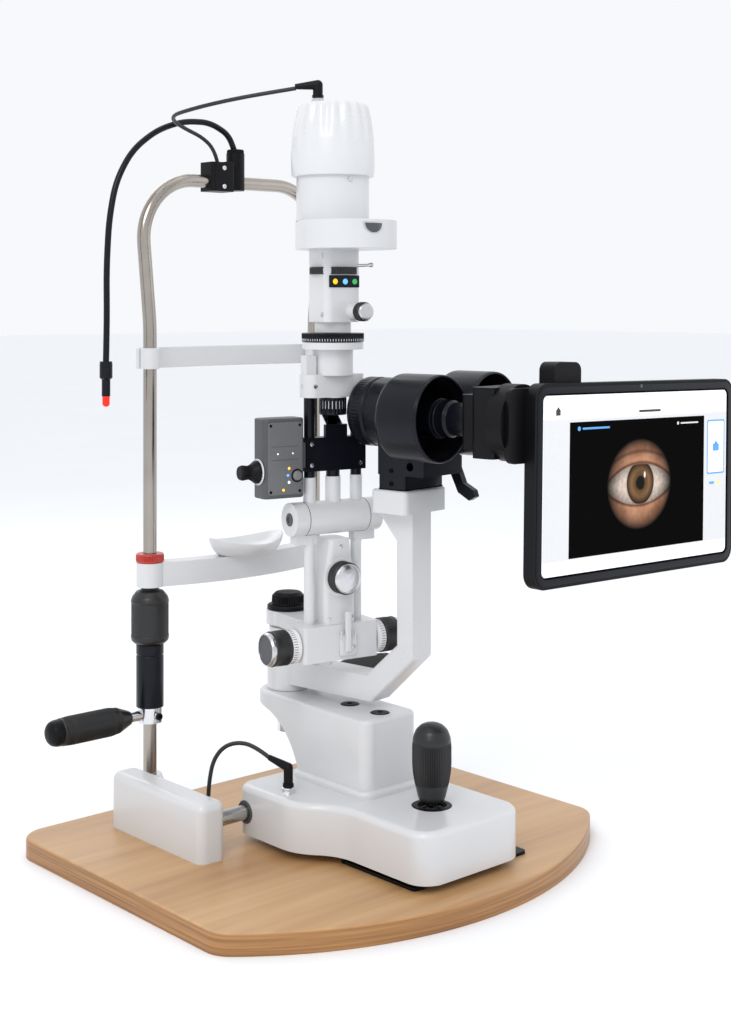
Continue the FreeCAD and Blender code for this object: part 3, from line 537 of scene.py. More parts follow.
def make_finishes(colours):
    """Every finish of the instrument, under its own name."""
    white = tuple(colours.enamel)
    coated("enamel", white, tuple(c * 0.955 for c in white), (0.26, 0.36), coat=0.35, grain=700.0,
           depth=0.00003, cloud=6.0)
    coated("cap_white", (0.70, 0.705, 0.715), (0.67, 0.675, 0.685), (0.24, 0.32), coat=0.3,
           grain=500.0)
    coated("dial_white", (0.8, 0.8, 0.8), (0.74, 0.74, 0.74), (0.35, 0.45))
    black = tuple(colours.black)
    coated("satin_black", black, tuple(c * 0.55 for c in black), (0.26, 0.38), metal=0.35,
           coat=0.15, grain=1400.0, depth=0.00003, specular=0.22)
    coated("moulded_black", (0.006, 0.006, 0.007), (0.003, 0.003, 0.004), (0.36, 0.48),
           grain=2200.0, depth=0.00006, strength=0.3, specular=0.16)
    coated("rubber_black", (0.013, 0.013, 0.0135), (0.008, 0.008, 0.008), (0.28, 0.4), grain=1600.0,
           depth=0.00006, strength=0.3, specular=0.5)
    coated("deep_black", (0.004, 0.004, 0.004), (0.002, 0.002, 0.002), (0.6, 0.8), specular=0.1)
    coated("panel_grey", (0.085, 0.087, 0.092), (0.06, 0.062, 0.066), (0.4, 0.5), grain=1800.0,
           depth=0.00005)
    coated("face_grey", (0.15, 0.153, 0.16), (0.12, 0.122, 0.128), (0.42, 0.52), grain=1800.0)
    coated("button_grey", (0.21, 0.21, 0.22), (0.16, 0.16, 0.17), (0.35, 0.45))
    coated("mark_white", (0.8, 0.8, 0.8), (0.7, 0.7, 0.7), (0.5, 0.6))
    coated("red_knurl", (0.55, 0.035, 0.02), (0.40, 0.02, 0.012), (0.3, 0.42), coat=0.3)
    coated("cord_black", (0.013, 0.013, 0.014), (0.008, 0.008, 0.008), (0.38, 0.5), grain=900.0)
    brushed("stainless", (0.44, 0.40, 0.36), (0.36, 0.325, 0.29), (500.0, 500.0, 3.0), (0.16, 0.24))
    brushed("steel_across", (0.55, 0.54, 0.53), (0.42, 0.41, 0.40), (6.0, 420.0, 420.0),
            (0.2, 0.34))
    brushed("chrome", (0.80, 0.80, 0.82), (0.66, 0.66, 0.68), (40.0, 40.0, 40.0), (0.06, 0.14))
    brushed("turned_silver", (0.72, 0.72, 0.73), (0.58, 0.58, 0.6), (90.0, 90.0, 90.0),
            (0.16, 0.28))
    brushed("mirror", (0.9, 0.9, 0.92), (0.86, 0.86, 0.88), (10.0, 10.0, 10.0), (0.01, 0.03))
    maple_finish()
    glass = coated("lens_glass", (0.015, 0.02, 0.03), (0.01, 0.012, 0.02), (0.03, 0.06), coat=1.0,
                   grain=40.0, depth=0.000002)
    glass.set(Specular_IOR_Level=0.8)
    clear = coated("bulb_glass", (0.9, 0.9, 0.88), (0.85, 0.85, 0.8), (0.03, 0.08))
    clear.set(Transmission_Weight=0.85)
    for name, colour, strength in (
        ("lamp_amber", (1.0, 0.42, 0.03), 1.6), ("lamp_blue", (0.10, 0.35, 1.0), 1.4),
        ("lamp_green", (0.06, 0.50, 0.15), 0.3), ("lamp_white", (0.9, 0.9, 0.9), 1.0),
        ("lamp_yellow", (0.9, 0.6, 0.02), 0.5), ("lamp_red", (0.8, 0.03, 0.02), 0.5),
        ("page_white", (0.93, 0.93, 0.94), 0.35), ("page_grey", (0.76, 0.765, 0.775), 0.12),
        ("page_blue", (0.12, 0.38, 0.78), 0.2), ("page_ink", (0.06, 0.065, 0.07), 0.05),
    ):
        glowing(name, colour, strength)
    glowing("picture_black", (0.003, 0.003, 0.003), 0.5, 0.0)
    eye_finish()


# ---------------------------------------------------------------- cords

BASE_CORD = [(-75, 16, 84), (-80, 31, 92), (-88, 45, 95), (-99, 55, 91), (-107, 61, 78),
             (-110, 63, 60), (-111, 64, 40), (-110.5, 63, 20), (-110.5, 63.4, 0.3)]
LAMP_CORD = [(-36.0, 23.7, 718.8), (-58, 43, 714), (-78, 66, 709), (-93, 92, 704), (-100, 118, 700),
             (-98, 140, 698), (-86, 156, 694), (-64, 166, 689), (-41, 168, 682), (-27, 167, 670),
             (-24, 166, 657)]
CORD_DIAMETER = 0.004


def cord(name, route, body, node):
    """A free cord on one smooth NURBS line through its route, as thick as the real one."""
    curve = bpy.data.curves.new(name, "CURVE")
    curve.dimensions = "3D"
    spline = curve.splines.new("NURBS")
    spline.points.add(len(route) - 1)
    points = seated(route)
    spline.points.foreach_set("co", np.column_stack([points, np.ones(len(points))]).ravel())
    spline.order_u = 3
    spline.use_endpoint_u = True
    spline.resolution_u = 12
    curve.bevel_depth = CORD_DIAMETER / 2
    curve.bevel_resolution = 5
    curve.use_fill_caps = True
    curve.materials.append(FINISH["cord_black"])
    piece = bpy.data.objects.new(name, curve)
    bpy.context.scene.collection.objects.link(piece)
    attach(piece, body)
    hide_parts(node)
    tuple(points[0])


# ---------------------------------------------------------------- groups of pieces

TICKS = dict(finish="deep_black", slot="black_matte")


class GroupOperator(bpy.types.Operator):
    """The common form of the operators that build one group of pieces."""

    bl_options = {"REGISTER", "UNDO"}

    def execute(self, context):
        self.make(context.scene.slit_lamp)
        return {"FINISHED"}


class SLITLAMP_OT_finishes(GroupOperator):
    """Makes the materials"""

    bl_idname = "slitlamp.finishes"
    bl_label = "Finishes"

    def make(self, settings):
        make_finishes(settings)


class SLITLAMP_OT_castings(GroupOperator):
    """Dresses the frame's own castings, plates and tubes in their finishes"""

    bl_idname = "slitlamp.castings"
    bl_label = "Castings"

    def make(self, settings):
        for node, finish in (
            ("table_board", "maple"), ("glide_plate", "moulded_black"), ("rail_covers", "enamel"),
            ("rail_racks", "steel_across"), ("head_frame_tube", "stainless"),
            ("grip_clamps", "chrome"), ("fixation_arm", "satin_black"),
            ("fixation_light", "lamp_red"), ("axle", "steel_across"),
            ("rack_wheels", "turned_silver"),
            ("base_housing", "enamel"), ("column_housing", "enamel"),
            ("stick_bearing", "satin_black"),
            ("joystick_ball", "satin_black"), ("joystick_shaft", "chrome"),
            ("lift_shaft", "chrome"),
            ("base_plug", "moulded_black"), ("lamp_plug", "moulded_black"),
            ("slit_mirror", "mirror"),
            ("microscope_arm", "enamel"), ("tower_posts", "enamel"), ("tilt_drum", "enamel"),
            ("lamp_housing", "enamel"), ("lamp_bulb", "bulb_glass"), ("centering_cover", "enamel"),
            ("tablet_screen", "picture_black"),
        ):
            dress(node, finish)
        for node, finish in (
            ("fixation_clamp", "moulded_black"), ("microscope_mount", "satin_black"),
            ("mount_lever", "satin_black"), ("eyepiece_adapter", "moulded_black"),
            ("tablet_bracket", "moulded_black"), ("tablet_case", "moulded_black"),
            ("lamp_arm", "enamel"), ("mirror_holder", "satin_black"), ("lamp_bracket", "enamel"),
            ("filter_housing", "enamel"), ("dial_housing", "enamel"),
            ("base_lock_knob", "moulded_black"),
        ):
            dress(node, finish, settings.edge_radius)
        for node, radius in (("forehead_band", 1.2), ("chin_bar", 2.2)):
            dress(node, "enamel", radius)


class SLITLAMP_OT_cords(GroupOperator):
    """Lays the lamp's and the base's cords"""

    bl_idname = "slitlamp.cords"
    bl_label = "Cords"

    def make(self, settings):
        cord("base_lead", BASE_CORD, NODE_BODY["base_cord"], "base_cord")
        cord("lamp_lead", LAMP_CORD, NODE_BODY["lamp_cord"], "lamp_cord")
        nut = [(4.3, 0), (6.6, 0), (6.6, 5), (5.2, 6), (4.3, 6)]
        hexed = lambda t, h: -0.9 * (1 - 1 / (1 + 9 * (1 - np.cos(6 * t)) / 2)) * band(h, 0, 5, 0.3)
        build("base_socket_nut", lathe(nut, (-69, -5, 54), steps=48, ripple=hexed), "base",
              "chrome", "chrome")
        build("lamp_socket_nut", lathe(nut, (-12, -REACH + 8, 703.5), steps=48, ripple=hexed),
              "tower", "chrome", "chrome", on_lamp)


class SLITLAMP_OT_lamp_head(GroupOperator):
    """Builds the lamp's fluted cap, dial window, filter strip, rings and screws"""

    bl_idname = "slitlamp.lamp_head"
    bl_label = "Lamp head"

    def make(self, settings):
        axis_at = (0, -REACH, 0)
        barrel = [(35.4, 633), (39.6, 633), (40.3, 642), (40.4, 652), (39.8, 668), (38.0, 684),
                  (35.6, 697), (34.0, 701.2), (31.0, 703.3), (0, 703.5)]

        def scallops(t, h):
            """Hollow flutes: depth (1 - |cos n t|)^0.5, growing with height from mid barrel."""
            rise = np.clip((h - 650) / 46, 0, 1) ** 1.5 * np.clip((704 - h) / 2, 0.4, 1)
            return -2.4 * rise * (1 - np.abs(np.cos(settings.cap_flutes / 2 * t)) ** 1.6)

        build("lamp_cap_fluted", lathe(barrel, axis_at, steps=settings.cap_flutes * 14, ease=1.4,
                                       step=2.2, ripple=scallops),
              "tower", "cap_white", "white_plastic", on_lamp, ("lamp_cap",), sharp=50)
        front = (0, -1, 0)
        build("lamp_housing_screw", socket_screw((-2, -REACH - 34.8, 629), front, 2.4, 1.3),
              "tower", "chrome", "chrome", on_lamp)

        s = np.linspace(-1, 1, 33)[:, None]
        v = np.linspace(0, 1, 9)[None, :]

        def window(scale, radius):
            """A half round on the drum: z = top - v h sqrt(1 - s^2) at the angle s w."""
            angle = math.radians(-90) + s * scale * 0.235 + 0 * v
            z = 587.2 - (1 - scale) * 6 - v * 10.5 * scale * np.sqrt(1 - s ** 2)
            return np.stack([radius * np.cos(angle), -REACH - 27 + radius * np.sin(angle), z], -1)

        outer, inner = window(1.0, 47.5), window(0.84, 47.7)
        build("dial_window_rim", outer, "tower", "turned_silver", "chrome", on_lamp, wrap=False,
              fill=False)
        build("dial_window", inner, "tower", "lens_glass", "grey_panel", on_lamp, wrap=False,
              fill=False)
        build("dial_housing_seam", lathe([(34.9, 588.9), (35.6, 588.9), (35.6, 590.6),
                                          (34.9, 590.6)],
                                         axis_at), "tower", "panel_grey", "grey_panel", on_lamp)

        face = -REACH - 21
        build("filter_strip", brick(-16.5, 16.5, face - 1.4, face + 1, 527, 538.5, 0.8), "tower",
              "satin_black", "black_satin", on_lamp)
        for name, x, finish in (("yellow", -10.5, "lamp_yellow"), ("blue", 0.5, "lamp_blue"),
                                ("green", 11.0, "lamp_green")):
            dot = lathe([(0, 1.1), (1.8, 1.0), (2.7, 0.4), (2.7, 0)], (x, face - 1.2, 532.6), front,
                        32)
            build("filter_dot_" + name, dot, "tower", finish, "screen", on_lamp)
        build("filter_wheel", lathe([(16, 539.5), (23.6, 539.5), (23.6, 546.5), (16, 546.5)],
                                    (0, -REACH - 2.4, 0), steps=288, step=1.2,
                                    ripple=fluted(60, 0.8, 539.9, 546.1)),
              "tower", "rubber_black", "black_rubber", on_lamp)
        lever = lathe([(0, 0), (1.5, 0), (1.5, 12), (2.2, 13), (2.2, 16), (1.6, 17), (0, 17)],
                      (14, -REACH - 20, 547.8), (0.95, -0.3, 0.05), 32)
        build("filter_lever", lever, "tower", "chrome", "chrome", on_lamp)
        side = (-1, 0, 0)
        build("filter_housing_screws", [slot_screw((-19.4, -REACH - 13, z), side, 2.6, 0.8, turn)
                                        for z, turn in ((556.5, 0.3), (501, 1.1))],
              "tower", "turned_silver", "chrome", on_lamp)

        build("slit_ring_knurled", lathe([(8.4, 475.1), (30, 475.1), (30, 483.5), (8.4, 483.5)],
                                         axis_at, steps=360, step=1.4,
                                         ripple=fluted(90, 0.9, 478.4, 483.2)),
              "slit_ring", "satin_black", "black_satin", on_lamp, ("slit_rotation_ring",))
        build("slit_ring_marks", ring_marks(72, 30.0, 475.9, 478.1, 0.55, axis_at, (0, 0, 1)),
              "slit_ring", "mark_white", "white_plastic", on_lamp)
        knob_at = (11, -REACH - 32.5, 504)
        build("filter_knob_ring", lathe([(0, 0.4), (8.9, 0.4), (9.2, 1.5), (9.2, 8.4), (8.2, 9.2),
                                         (0, 9.2)], knob_at, front, 200, step=1.3,
                                        ripple=fluted(40, 0.7, 1.6, 8.3)),
              "filter_knob", "rubber_black", "black_rubber", on_lamp, ("filter_knob",))
        build("filter_knob_face", lathe([(8.1, 8.8), (8.1, 11.0), (7.3, 11.9), (4, 12.1),
                                         (0, 12.1)],
                                        knob_at, front, 64), "filter_knob", "turned_silver",
              "chrome", on_lamp)
        build("bracket_screws", [slot_screw((x, -98.0, 433), front, 2.1, 0.7, 0.8) for x in (-25,
                                                                                             25)]
              + [slot_screw((-32.9, -REACH + 2, 433), side, 2.1, 0.7, 0.2)],
              "tower", "turned_silver", "chrome", on_lamp)
        build("prism_collar", lathe([(8, 405), (13.2, 405), (13.2, 421.6), (8, 421.6)], axis_at,
                                    steps=192, ease=0.6, step=1.5,
                                    ripple=fluted(22, 0.9, 406, 420)),
              "tower", "satin_black", "black_satin", on_lamp)
        build("mirror_plate_screws", [slot_screw((x, -REACH - 6.8, z), front, 2.2, 0.8, 0.5)
                                      for x in (-27, 27) for z in (358, 378)],
              "tower", "turned_silver", "chrome", on_lamp)


class SLITLAMP_OT_tower(GroupOperator):
    """Builds the tower's knurled knobs, scales, latch and drum sockets"""

    bl_idname = "slitlamp.tower"
    bl_label = "Tower"

    def make(self, settings):
        rings, faces, scales, rims, ticks = [], [], [], [], []
        for side in (-1, 1):
            at, way = (side * 42, -REACH, BLOCK_Z), (side, 0, 0)
            scales.append(lathe([(5, 0.3), (15.8, 0.3), (15.8, 9.6), (5, 9.6)], at, way))
            rings.append(lathe([(5, 10), (16.0, 10), (16.8, 11), (16.8, 26), (15.6, 27.2),
                                (5, 27.2)],
                               at, way, 288, step=1.4,
                               ripple=crossed(48, 1.1, 2.6, 11.2, 26)))
            rims.append(lathe([(13.6, 27.0), (15.7, 27.0), (15.7, 29.8), (14.6, 31.8),
                               (13.6, 31.8)],
                              at, way))
            faces.append(lathe([(0, 30.8), (13.7, 30.8), (13.7, 27), (0, 27)], at, way))
            ticks += ring_marks(40, 15.8, 4.6, 8.6, 0.5, at, way)
        shaft = lathe([(0, -62), (5, -62), (5, 62), (0, 62)], (0, -REACH, BLOCK_Z), (1, 0, 0), 32)
        build("slit_knob_grips", rings + [shaft], "slit_knobs", "rubber_black", "black_rubber",
              on_lamp, ("slit_width_knobs",))
        build("slit_knob_scales", scales, "slit_knobs", "dial_white", "white_plastic", on_lamp)
        build("slit_knob_ticks", ticks, "slit_knobs", place=on_lamp, **TICKS)
        build("slit_knob_rims", rims, "slit_knobs", "turned_silver", "chrome", on_lamp)
        build("slit_knob_faces", faces, "slit_knobs", "panel_grey", "grey_panel", on_lamp)

        front = (0, -1, 0)
        at = (0, -REACH - 15, 251)
        build("centering_grip", lathe([(0, 0.4), (15, 0.4), (15.6, 1.8), (15.6, 11.6), (14.6, 12.6),
                                       (0, 12.6)], at, front, 288, step=1.3,
                                      ripple=crossed(44, 1.0, 2.6, 1.9, 11.5)),
              "centering_knob", "rubber_black", "black_rubber", on_lamp, ("centering_knob",))
        build("centering_face", lathe([(14.2, 12.2), (14.2, 13.6), (13.4, 14.8), (10, 15.9),
                                       (5, 16.4), (0, 16.5)], at, front, 72), "centering_knob",
              "turned_silver", "chrome", on_lamp)
        build("centering_seat", lathe([(4.2, -0.6), (18.4, -0.6), (18.4, 0.2), (4.2, 0.2)], at,
                                      front, 72),
              "lamp_arm", "dial_white", "white_plastic", on_lamp)

        build("drum_sockets", [socket_screw((s * 47.4, -REACH, DRUM_Z), (s, 0, 0), 6.2, 0.9, 0.5)
                               for s in (-1, 1)], "lamp_arm", "panel_grey", "grey_panel", on_lamp)
        build("drum_seams", [lathe([(15.4, -0.35), (16.12, -0.35), (16.12, 0.35), (15.4, 0.35)],
                                   (s * 33.35, -REACH, DRUM_Z), (1, 0, 0), 72, ease=0.1)
                             for s in (-1, 1)], "lamp_arm", "panel_grey", "grey_panel", on_lamp)

        block_face = -REACH - 17
        latch = [brick(-3, 15, block_face - 3.2, block_face + 0.5, 176, 196, 1.2),
                 brick(1, 7, block_face - 7.2, block_face - 2.8, 180, 219, 1.6)]
        latch += [brick(-3 + 3 * i, -1.6 + 3 * i, block_face - 4.2, block_face - 2.2, 192, 199.5,
                        0.4, 2)
                  for i in range(6) if i not in (1, 2, 3)]
        build("latch_plate", latch, "lamp_arm", "enamel", "white_enamel", on_lamp)
        build("latch_screw", slot_screw((11, block_face - 3.1, 184), front, 2.2, 0.8, 0.9),
              "lamp_arm", "turned_silver", "chrome", on_lamp)
        build("cover_screws", [slot_screw((x, -REACH - 14.9, z), front, 1.9, 0.6, 0.4)
                               for x, z in ((-12.5, 212), (12.5, 212), (0, 280))],
              "lamp_arm", "turned_silver", "chrome", on_lamp)
        build("arm_lock_cap", lathe([(0, 204.4), (21, 204.4), (21, 208), (19.4, 209.2), (16, 209.6),
                                     (16.6, 211.5), (16.2, 217.5), (12.6, 221), (0, 222)],
                                    steps=240, ease=0.8, step=1.3,
                                    ripple=fluted(40, 1.0, 210.4, 218)),
              "arm_lock", "moulded_black", "black_matte", on_lamp, ("arm_lock_knob",))


class SLITLAMP_OT_control_box(GroupOperator):
    """Builds the control box with its face, button, lamps and dial"""

    bl_idname = "slitlamp.control_box"
    bl_label = "Control box"

    def make(self, settings):
        front, face = (0, -1, 0), -REACH - 10
        shell = outline_slab(stadium(-80, -36, -98, -74, 6, 7), 329, 404, 1.6)
        tongue = brick(-37.5, -33.2, -94, -82, 356, 380, 0.8)
        build("control_shell", [shell, tongue], "tower", "panel_grey", "grey_panel", on_lamp,
              ("control_box",))
        plate = on_face(outline_slab(stadium(-76.5, -39.5, 332.5, 400.5, 3.5), 0, 0.7, 0.3),
                        face + 0.1)
        build("control_face", plate, "tower", "face_grey", "grey_panel", on_lamp)
        build("control_button", lathe([(0, 3.1), (3.6, 3.0), (4.4, 2.4), (4.6, 0.4), (4.6, 0)],
                                      (-45.5, face - 0.4, 350), front, 48), "tower", "button_grey",
              "grey_panel", on_lamp)
        build("control_button_ring", lathe([(5.0, 0), (6.2, 0), (6.2, 0.6), (5.0, 0.6)],
                                           (-45.5, face - 0.5, 350), front, 48, ease=0.2), "tower",
              "deep_black", "black_matte", on_lamp)
        lamp = [(0, 0.9), (0.9, 0.8), (1.3, 0.2), (1.3, 0)]
        for name, x, z, finish in (
            ("amber", -54, 357, "lamp_amber"), ("blue", -55.2, 350.5, "lamp_blue"),
            ("white", -54, 344, "lamp_white"), ("power", -60, 337, "lamp_amber"),
            ("top_left", -66, 371, "lamp_white"), ("top_right", -50, 371, "lamp_white"),
        ):
            size = 0.6 if name.startswith("top") else 1.0
            bead = lathe([(r * size, h * size) for r, h in lamp], (x, face - 0.5, z), front, 24)
            build("control_lamp_" + name, bead, "tower", finish, "screen", on_lamp)
        rules = [brick(-73, -44, face - 0.75, face - 0.5, z, z + 0.5, 0.1, 1) for z in (377.5, 365)]
        build("control_rules", rules, "tower", "panel_grey", "grey_panel", on_lamp)
        build("control_screws", [slot_screw((x, face - 0.5, z), front, 1.4, 0.5, 0.7)
                                 for x in (-73.5, -42.5) for z in (335.5, 397.5)],
              "tower", "deep_black", "black_matte", on_lamp)
        at, way = (-80, -REACH + 2, 354), (-1, 0, 0)
        build("control_dial_grip", lathe([(0, 1.2), (10.8, 1.2), (10.8, 3.4), (7.6, 8), (6.4, 11),
                                          (7.2, 17), (6.2, 20), (0, 20)], at, way, 192, step=1.2,
                                         ripple=fluted(24, 0.6, 8, 18.5)),
              "control_dial", "moulded_black", "black_matte", on_lamp, ("control_dial",))
        build("control_dial_scale", lathe([(0, 0.3), (12.4, 0.3), (12.4, 1.3), (0, 1.3)], at, way,
                                          64,
                                          ease=0.2), "control_dial", "dial_white", "white_plastic",
              on_lamp)
        marks = [lathe([(0, 1.42), (0.45, 1.42), (0.45, 1.2), (0, 1.2)],
                       (at[0], at[1] + 11.6 * math.cos(a), at[2] + 11.6 * math.sin(a)), way, 8,
                       ease=0.05)
                 for a in np.linspace(0, FULL_TURN, 24, endpoint=False)]
        build("control_dial_marks", marks, "control_dial", place=on_lamp, **TICKS)


class SLITLAMP_OT_microscope(GroupOperator):
    """Builds the microscope's barrel, prism drums, eyepieces and lens"""

    bl_idname = "slitlamp.microscope"
    bl_label = "Microscope"

    def make(self, settings):
        back = (0, -1, 0)
        barrel = [(0, 3.5), (25, 3.5), (26.4, 0.4), (28.4, -1.8), (30.4, -2.6), (32.2, -1.4),
                  (33.2, 1.6),
                  (33.3, 15.5), (32.2, 16.6), (32.2, 18.8), (33.1, 19.8), (33.1, 44), (32.5, 44.6),
                  (32.5, 45.8), (33.1, 46.4), (33.0, 69), (0, 69)]
        build("objective_shell", lathe(barrel, (0, OBJECTIVE_Y, SCOPE_Z), back, 240, step=1.6,
                                       ripple=fluted(60, 0.5, 4.5, 12.5)),
              "microscope", "satin_black", "black_satin", on_scope, ("objective_barrel",))
        build("objective_lens", lathe([(24.8, 3.3), (24.6, 1.5), (16, 0.2), (8, -0.5), (0, -0.8)],
                                      (0, OBJECTIVE_Y, SCOPE_Z), back, 72), "microscope",
              "lens_glass", "black_satin", on_scope, fill=False)
        drums, pits, tubes, cups, eyes = [], [], [], [], []
        for side in (-1, 1):
            at = (side * PRISM_X, PRISM_Y, SCOPE_Z)
            drums.append(lathe([(0, 0), (33, 0), (37.4, 1.6), (39.7, 4.8), (40, 7), (40, 47.2),
                                (39.5, 47.7), (39.5, 48.3), (39.9, 48.7), (39.4, 49.8), (38.6, 50),
                                (37.8, 49.4), (37.0, 40), (36.0, 14), (0, 14)], at, back, 112,
                               ease=0.7))
            pits.append(lathe([(0, 14.9), (35.4, 14.9), (36.4, 40), (36.9, 45)], at, back, 96,
                              ease=0.1, closed=False))
            eye = (side * EYEPIECE_X, PRISM_Y, SCOPE_Z)
            tubes.append(lathe([(16.5, 14.5), (16.5, 38), (18.4, 39), (18.4, 42.6), (0, 42.6)], eye,
                               back, 72))
            eye = (side * EYEPIECE_X, EYEPIECE_Y, SCOPE_Z)
            eyes.append(lathe([(0, 0.5), (17, 0.5), (17, 3), (16.4, 3.4), (16.4, 4.2), (17, 4.6),
                               (17, 13.4),
                               (15, 15.8), (15, 40), (17.4, 41.8), (17.4, 44), (10, 44)], eye, back,
                              200, step=1.6, ripple=fluted(50, 0.5, 5.4, 12.6)))
            cups.append(lathe([(10, 43.6), (17.2, 43.6), (17.5, 46), (17.5, 54), (16.4, 57),
                               (14.6, 58), (13.6, 56), (12.6, 51), (0, 51)], eye, back, 72))
        build("prism_drums", drums, "microscope", "satin_black", "black_satin", on_scope,
              ("prism_housings",))
        build("prism_pits", pits, "microscope", "deep_black", "black_matte", on_scope, fill=False)
        build("eyepiece_sockets", tubes, "microscope", "satin_black", "black_satin", on_scope)
        build("eyepiece_shells", eyes, "microscope", "satin_black", "black_satin", on_scope,
              ("eyepieces",))
        build("eyepiece_cups", cups, "microscope", "rubber_black", "black_rubber", on_scope)
        build("eyepiece_lenses", [lathe([(12.4, 51.4), (8, 52.3), (0, 52.8)],
                                        (s * EYEPIECE_X, EYEPIECE_Y, SCOPE_Z), back,
                                        48) for s in (-1, 1)],
              "microscope", "lens_glass", "black_satin", on_scope, fill=False)
        build("mount_screws", [socket_screw((s * 29.4, -158.0, z), (s, 0, 0), 2.3,
                                            0.9) for s in (-1, 1)
                               for z in (344, 356)], "microscope", "deep_black", "black_matte",
              on_scope)
        build("arm_head_seam", outline_slab(stadium(-30, 30, -174.5, -141.5, 3.4), 338.0, 339.0,
                                            0.3),
              "microscope", "deep_black", "black_matte", on_scope)


EYE_AT = (143.5, -5.0)


class SLITLAMP_OT_tablet(GroupOperator):
    """Builds the tablet's page, picture, generic eye and icons"""

    bl_idname = "slitlamp.tablet"
    bl_label = "Tablet"

    def make(self, settings):
        def sheet(x0, x1, z0, z1, corner, depth, thick=0.15):
            return on_face(outline_slab(stadium(x0, x1, z0, z1, corner), 0, thick, 0.03, 1), depth)

        def page(name, grids, finish):
            build(name, grids, "tablet", finish, "screen", on_tablet)

        page("screen_page", sheet(10.5, TABLET_WIDTH - 10.5, -78.5, 78.5, 5, 0.35), "page_white")
        page("screen_margin", sheet(11, 277, -66, 57.5, 0.6, 0.30), "page_grey")
        page("screen_picture", sheet(45.5, 241.5, -65, 54.5, 0.4, 0.15), "picture_black")
        t = np.linspace(0, FULL_TURN, 96, endpoint=False)
        oval = np.stack([EYE_AT[0] + 46.5 * np.cos(t), EYE_AT[1] + 41.5 * np.sin(t)], axis=1)
        page("screen_eye", on_face(outline_slab(oval, 0, 0.12, 0.02, 1), -0.02), "eye_picture")
        house = np.array([[27, 61], [33, 61], [33, 65.5], [30, 68.5], [27, 65.5]])
        page("screen_home", on_face(outline_slab(house, 0, 0.1, 0.02, 1), 0.18), "page_ink")
        page("screen_title", sheet(142, 174, 60.6, 62.8, 0.9, 0.18, 0.1), "page_ink")
        page("screen_button_frame", sheet(246.5, 274.5, -2, 50, 2.0, 0.14, 0.1), "page_blue")
        page("screen_button_page", sheet(248.0, 273.0, -0.5, 48.5, 1.3, 0.08, 0.1), "page_white")
        page("screen_button_icon", [sheet(255.5, 265.5, 20, 27, 1.5, -0.01, 0.1),
                                    sheet(258.5, 262.5, 26.5, 29, 0.8, -0.01, 0.1)], "page_blue")
        page("screen_footer", sheet(250.5, 258.5, -11.8, -9.4, 0.9, 0.14, 0.1), "page_blue")
        page("screen_footer_mark", sheet(262.5, 267.5, -11.6, -9.6, 0.9, 0.14, 0.1), "lamp_amber")
        page("screen_header_mark", [sheet(56, 60, 46.6, 50.6, 1.9, 0.05, 0.1),
                                    sheet(62.5, 100, 47.6, 49.4, 0.8, 0.05, 0.1)], "page_blue")
        page("screen_header_note", [sheet(199, 202, 47.2, 50.2, 1.4, 0.05, 0.1),
                                    sheet(204.5, 232, 47.9, 49.3, 0.6, 0.05, 0.1)], "page_grey")
        rim = outline_slab(stadium(3, TABLET_WIDTH - 3, -86, 86, 11.5), 0, 1.0, 0.45)
        inner = outline_slab(stadium(8.6, TABLET_WIDTH - 8.6, -80.4, 80.4, 7.6), -0.1, 1.1, 0.05)
        band_ring = np.concatenate([on_face(rim[len(rim) // 2:], 0.4),
                                    on_face(inner[::-1][:2], 0.4)])
        build("tablet_bezel", band_ring, "tablet", "satin_black", "black_matte", on_tablet,
              fill=False)
        build("tablet_lens", lathe([(0, 1.0), (1.5, 0.9), (1.8, 0.5), (1.8, 0)],
                                   (TABLET_WIDTH / 2, 0.2, 84.6),
                                   (0, -1, 0), 32), "tablet", "lens_glass", "screen", on_tablet)
        build("adapter_screws", [socket_screw((x, -290.5, z), (0, -1, 0), 2.6, 2.2)
                                 for x in (-52.5, -11.5) for z in (SCOPE_Z - 27, SCOPE_Z + 27)],
              "tablet", "satin_black", "black_satin", on_scope)


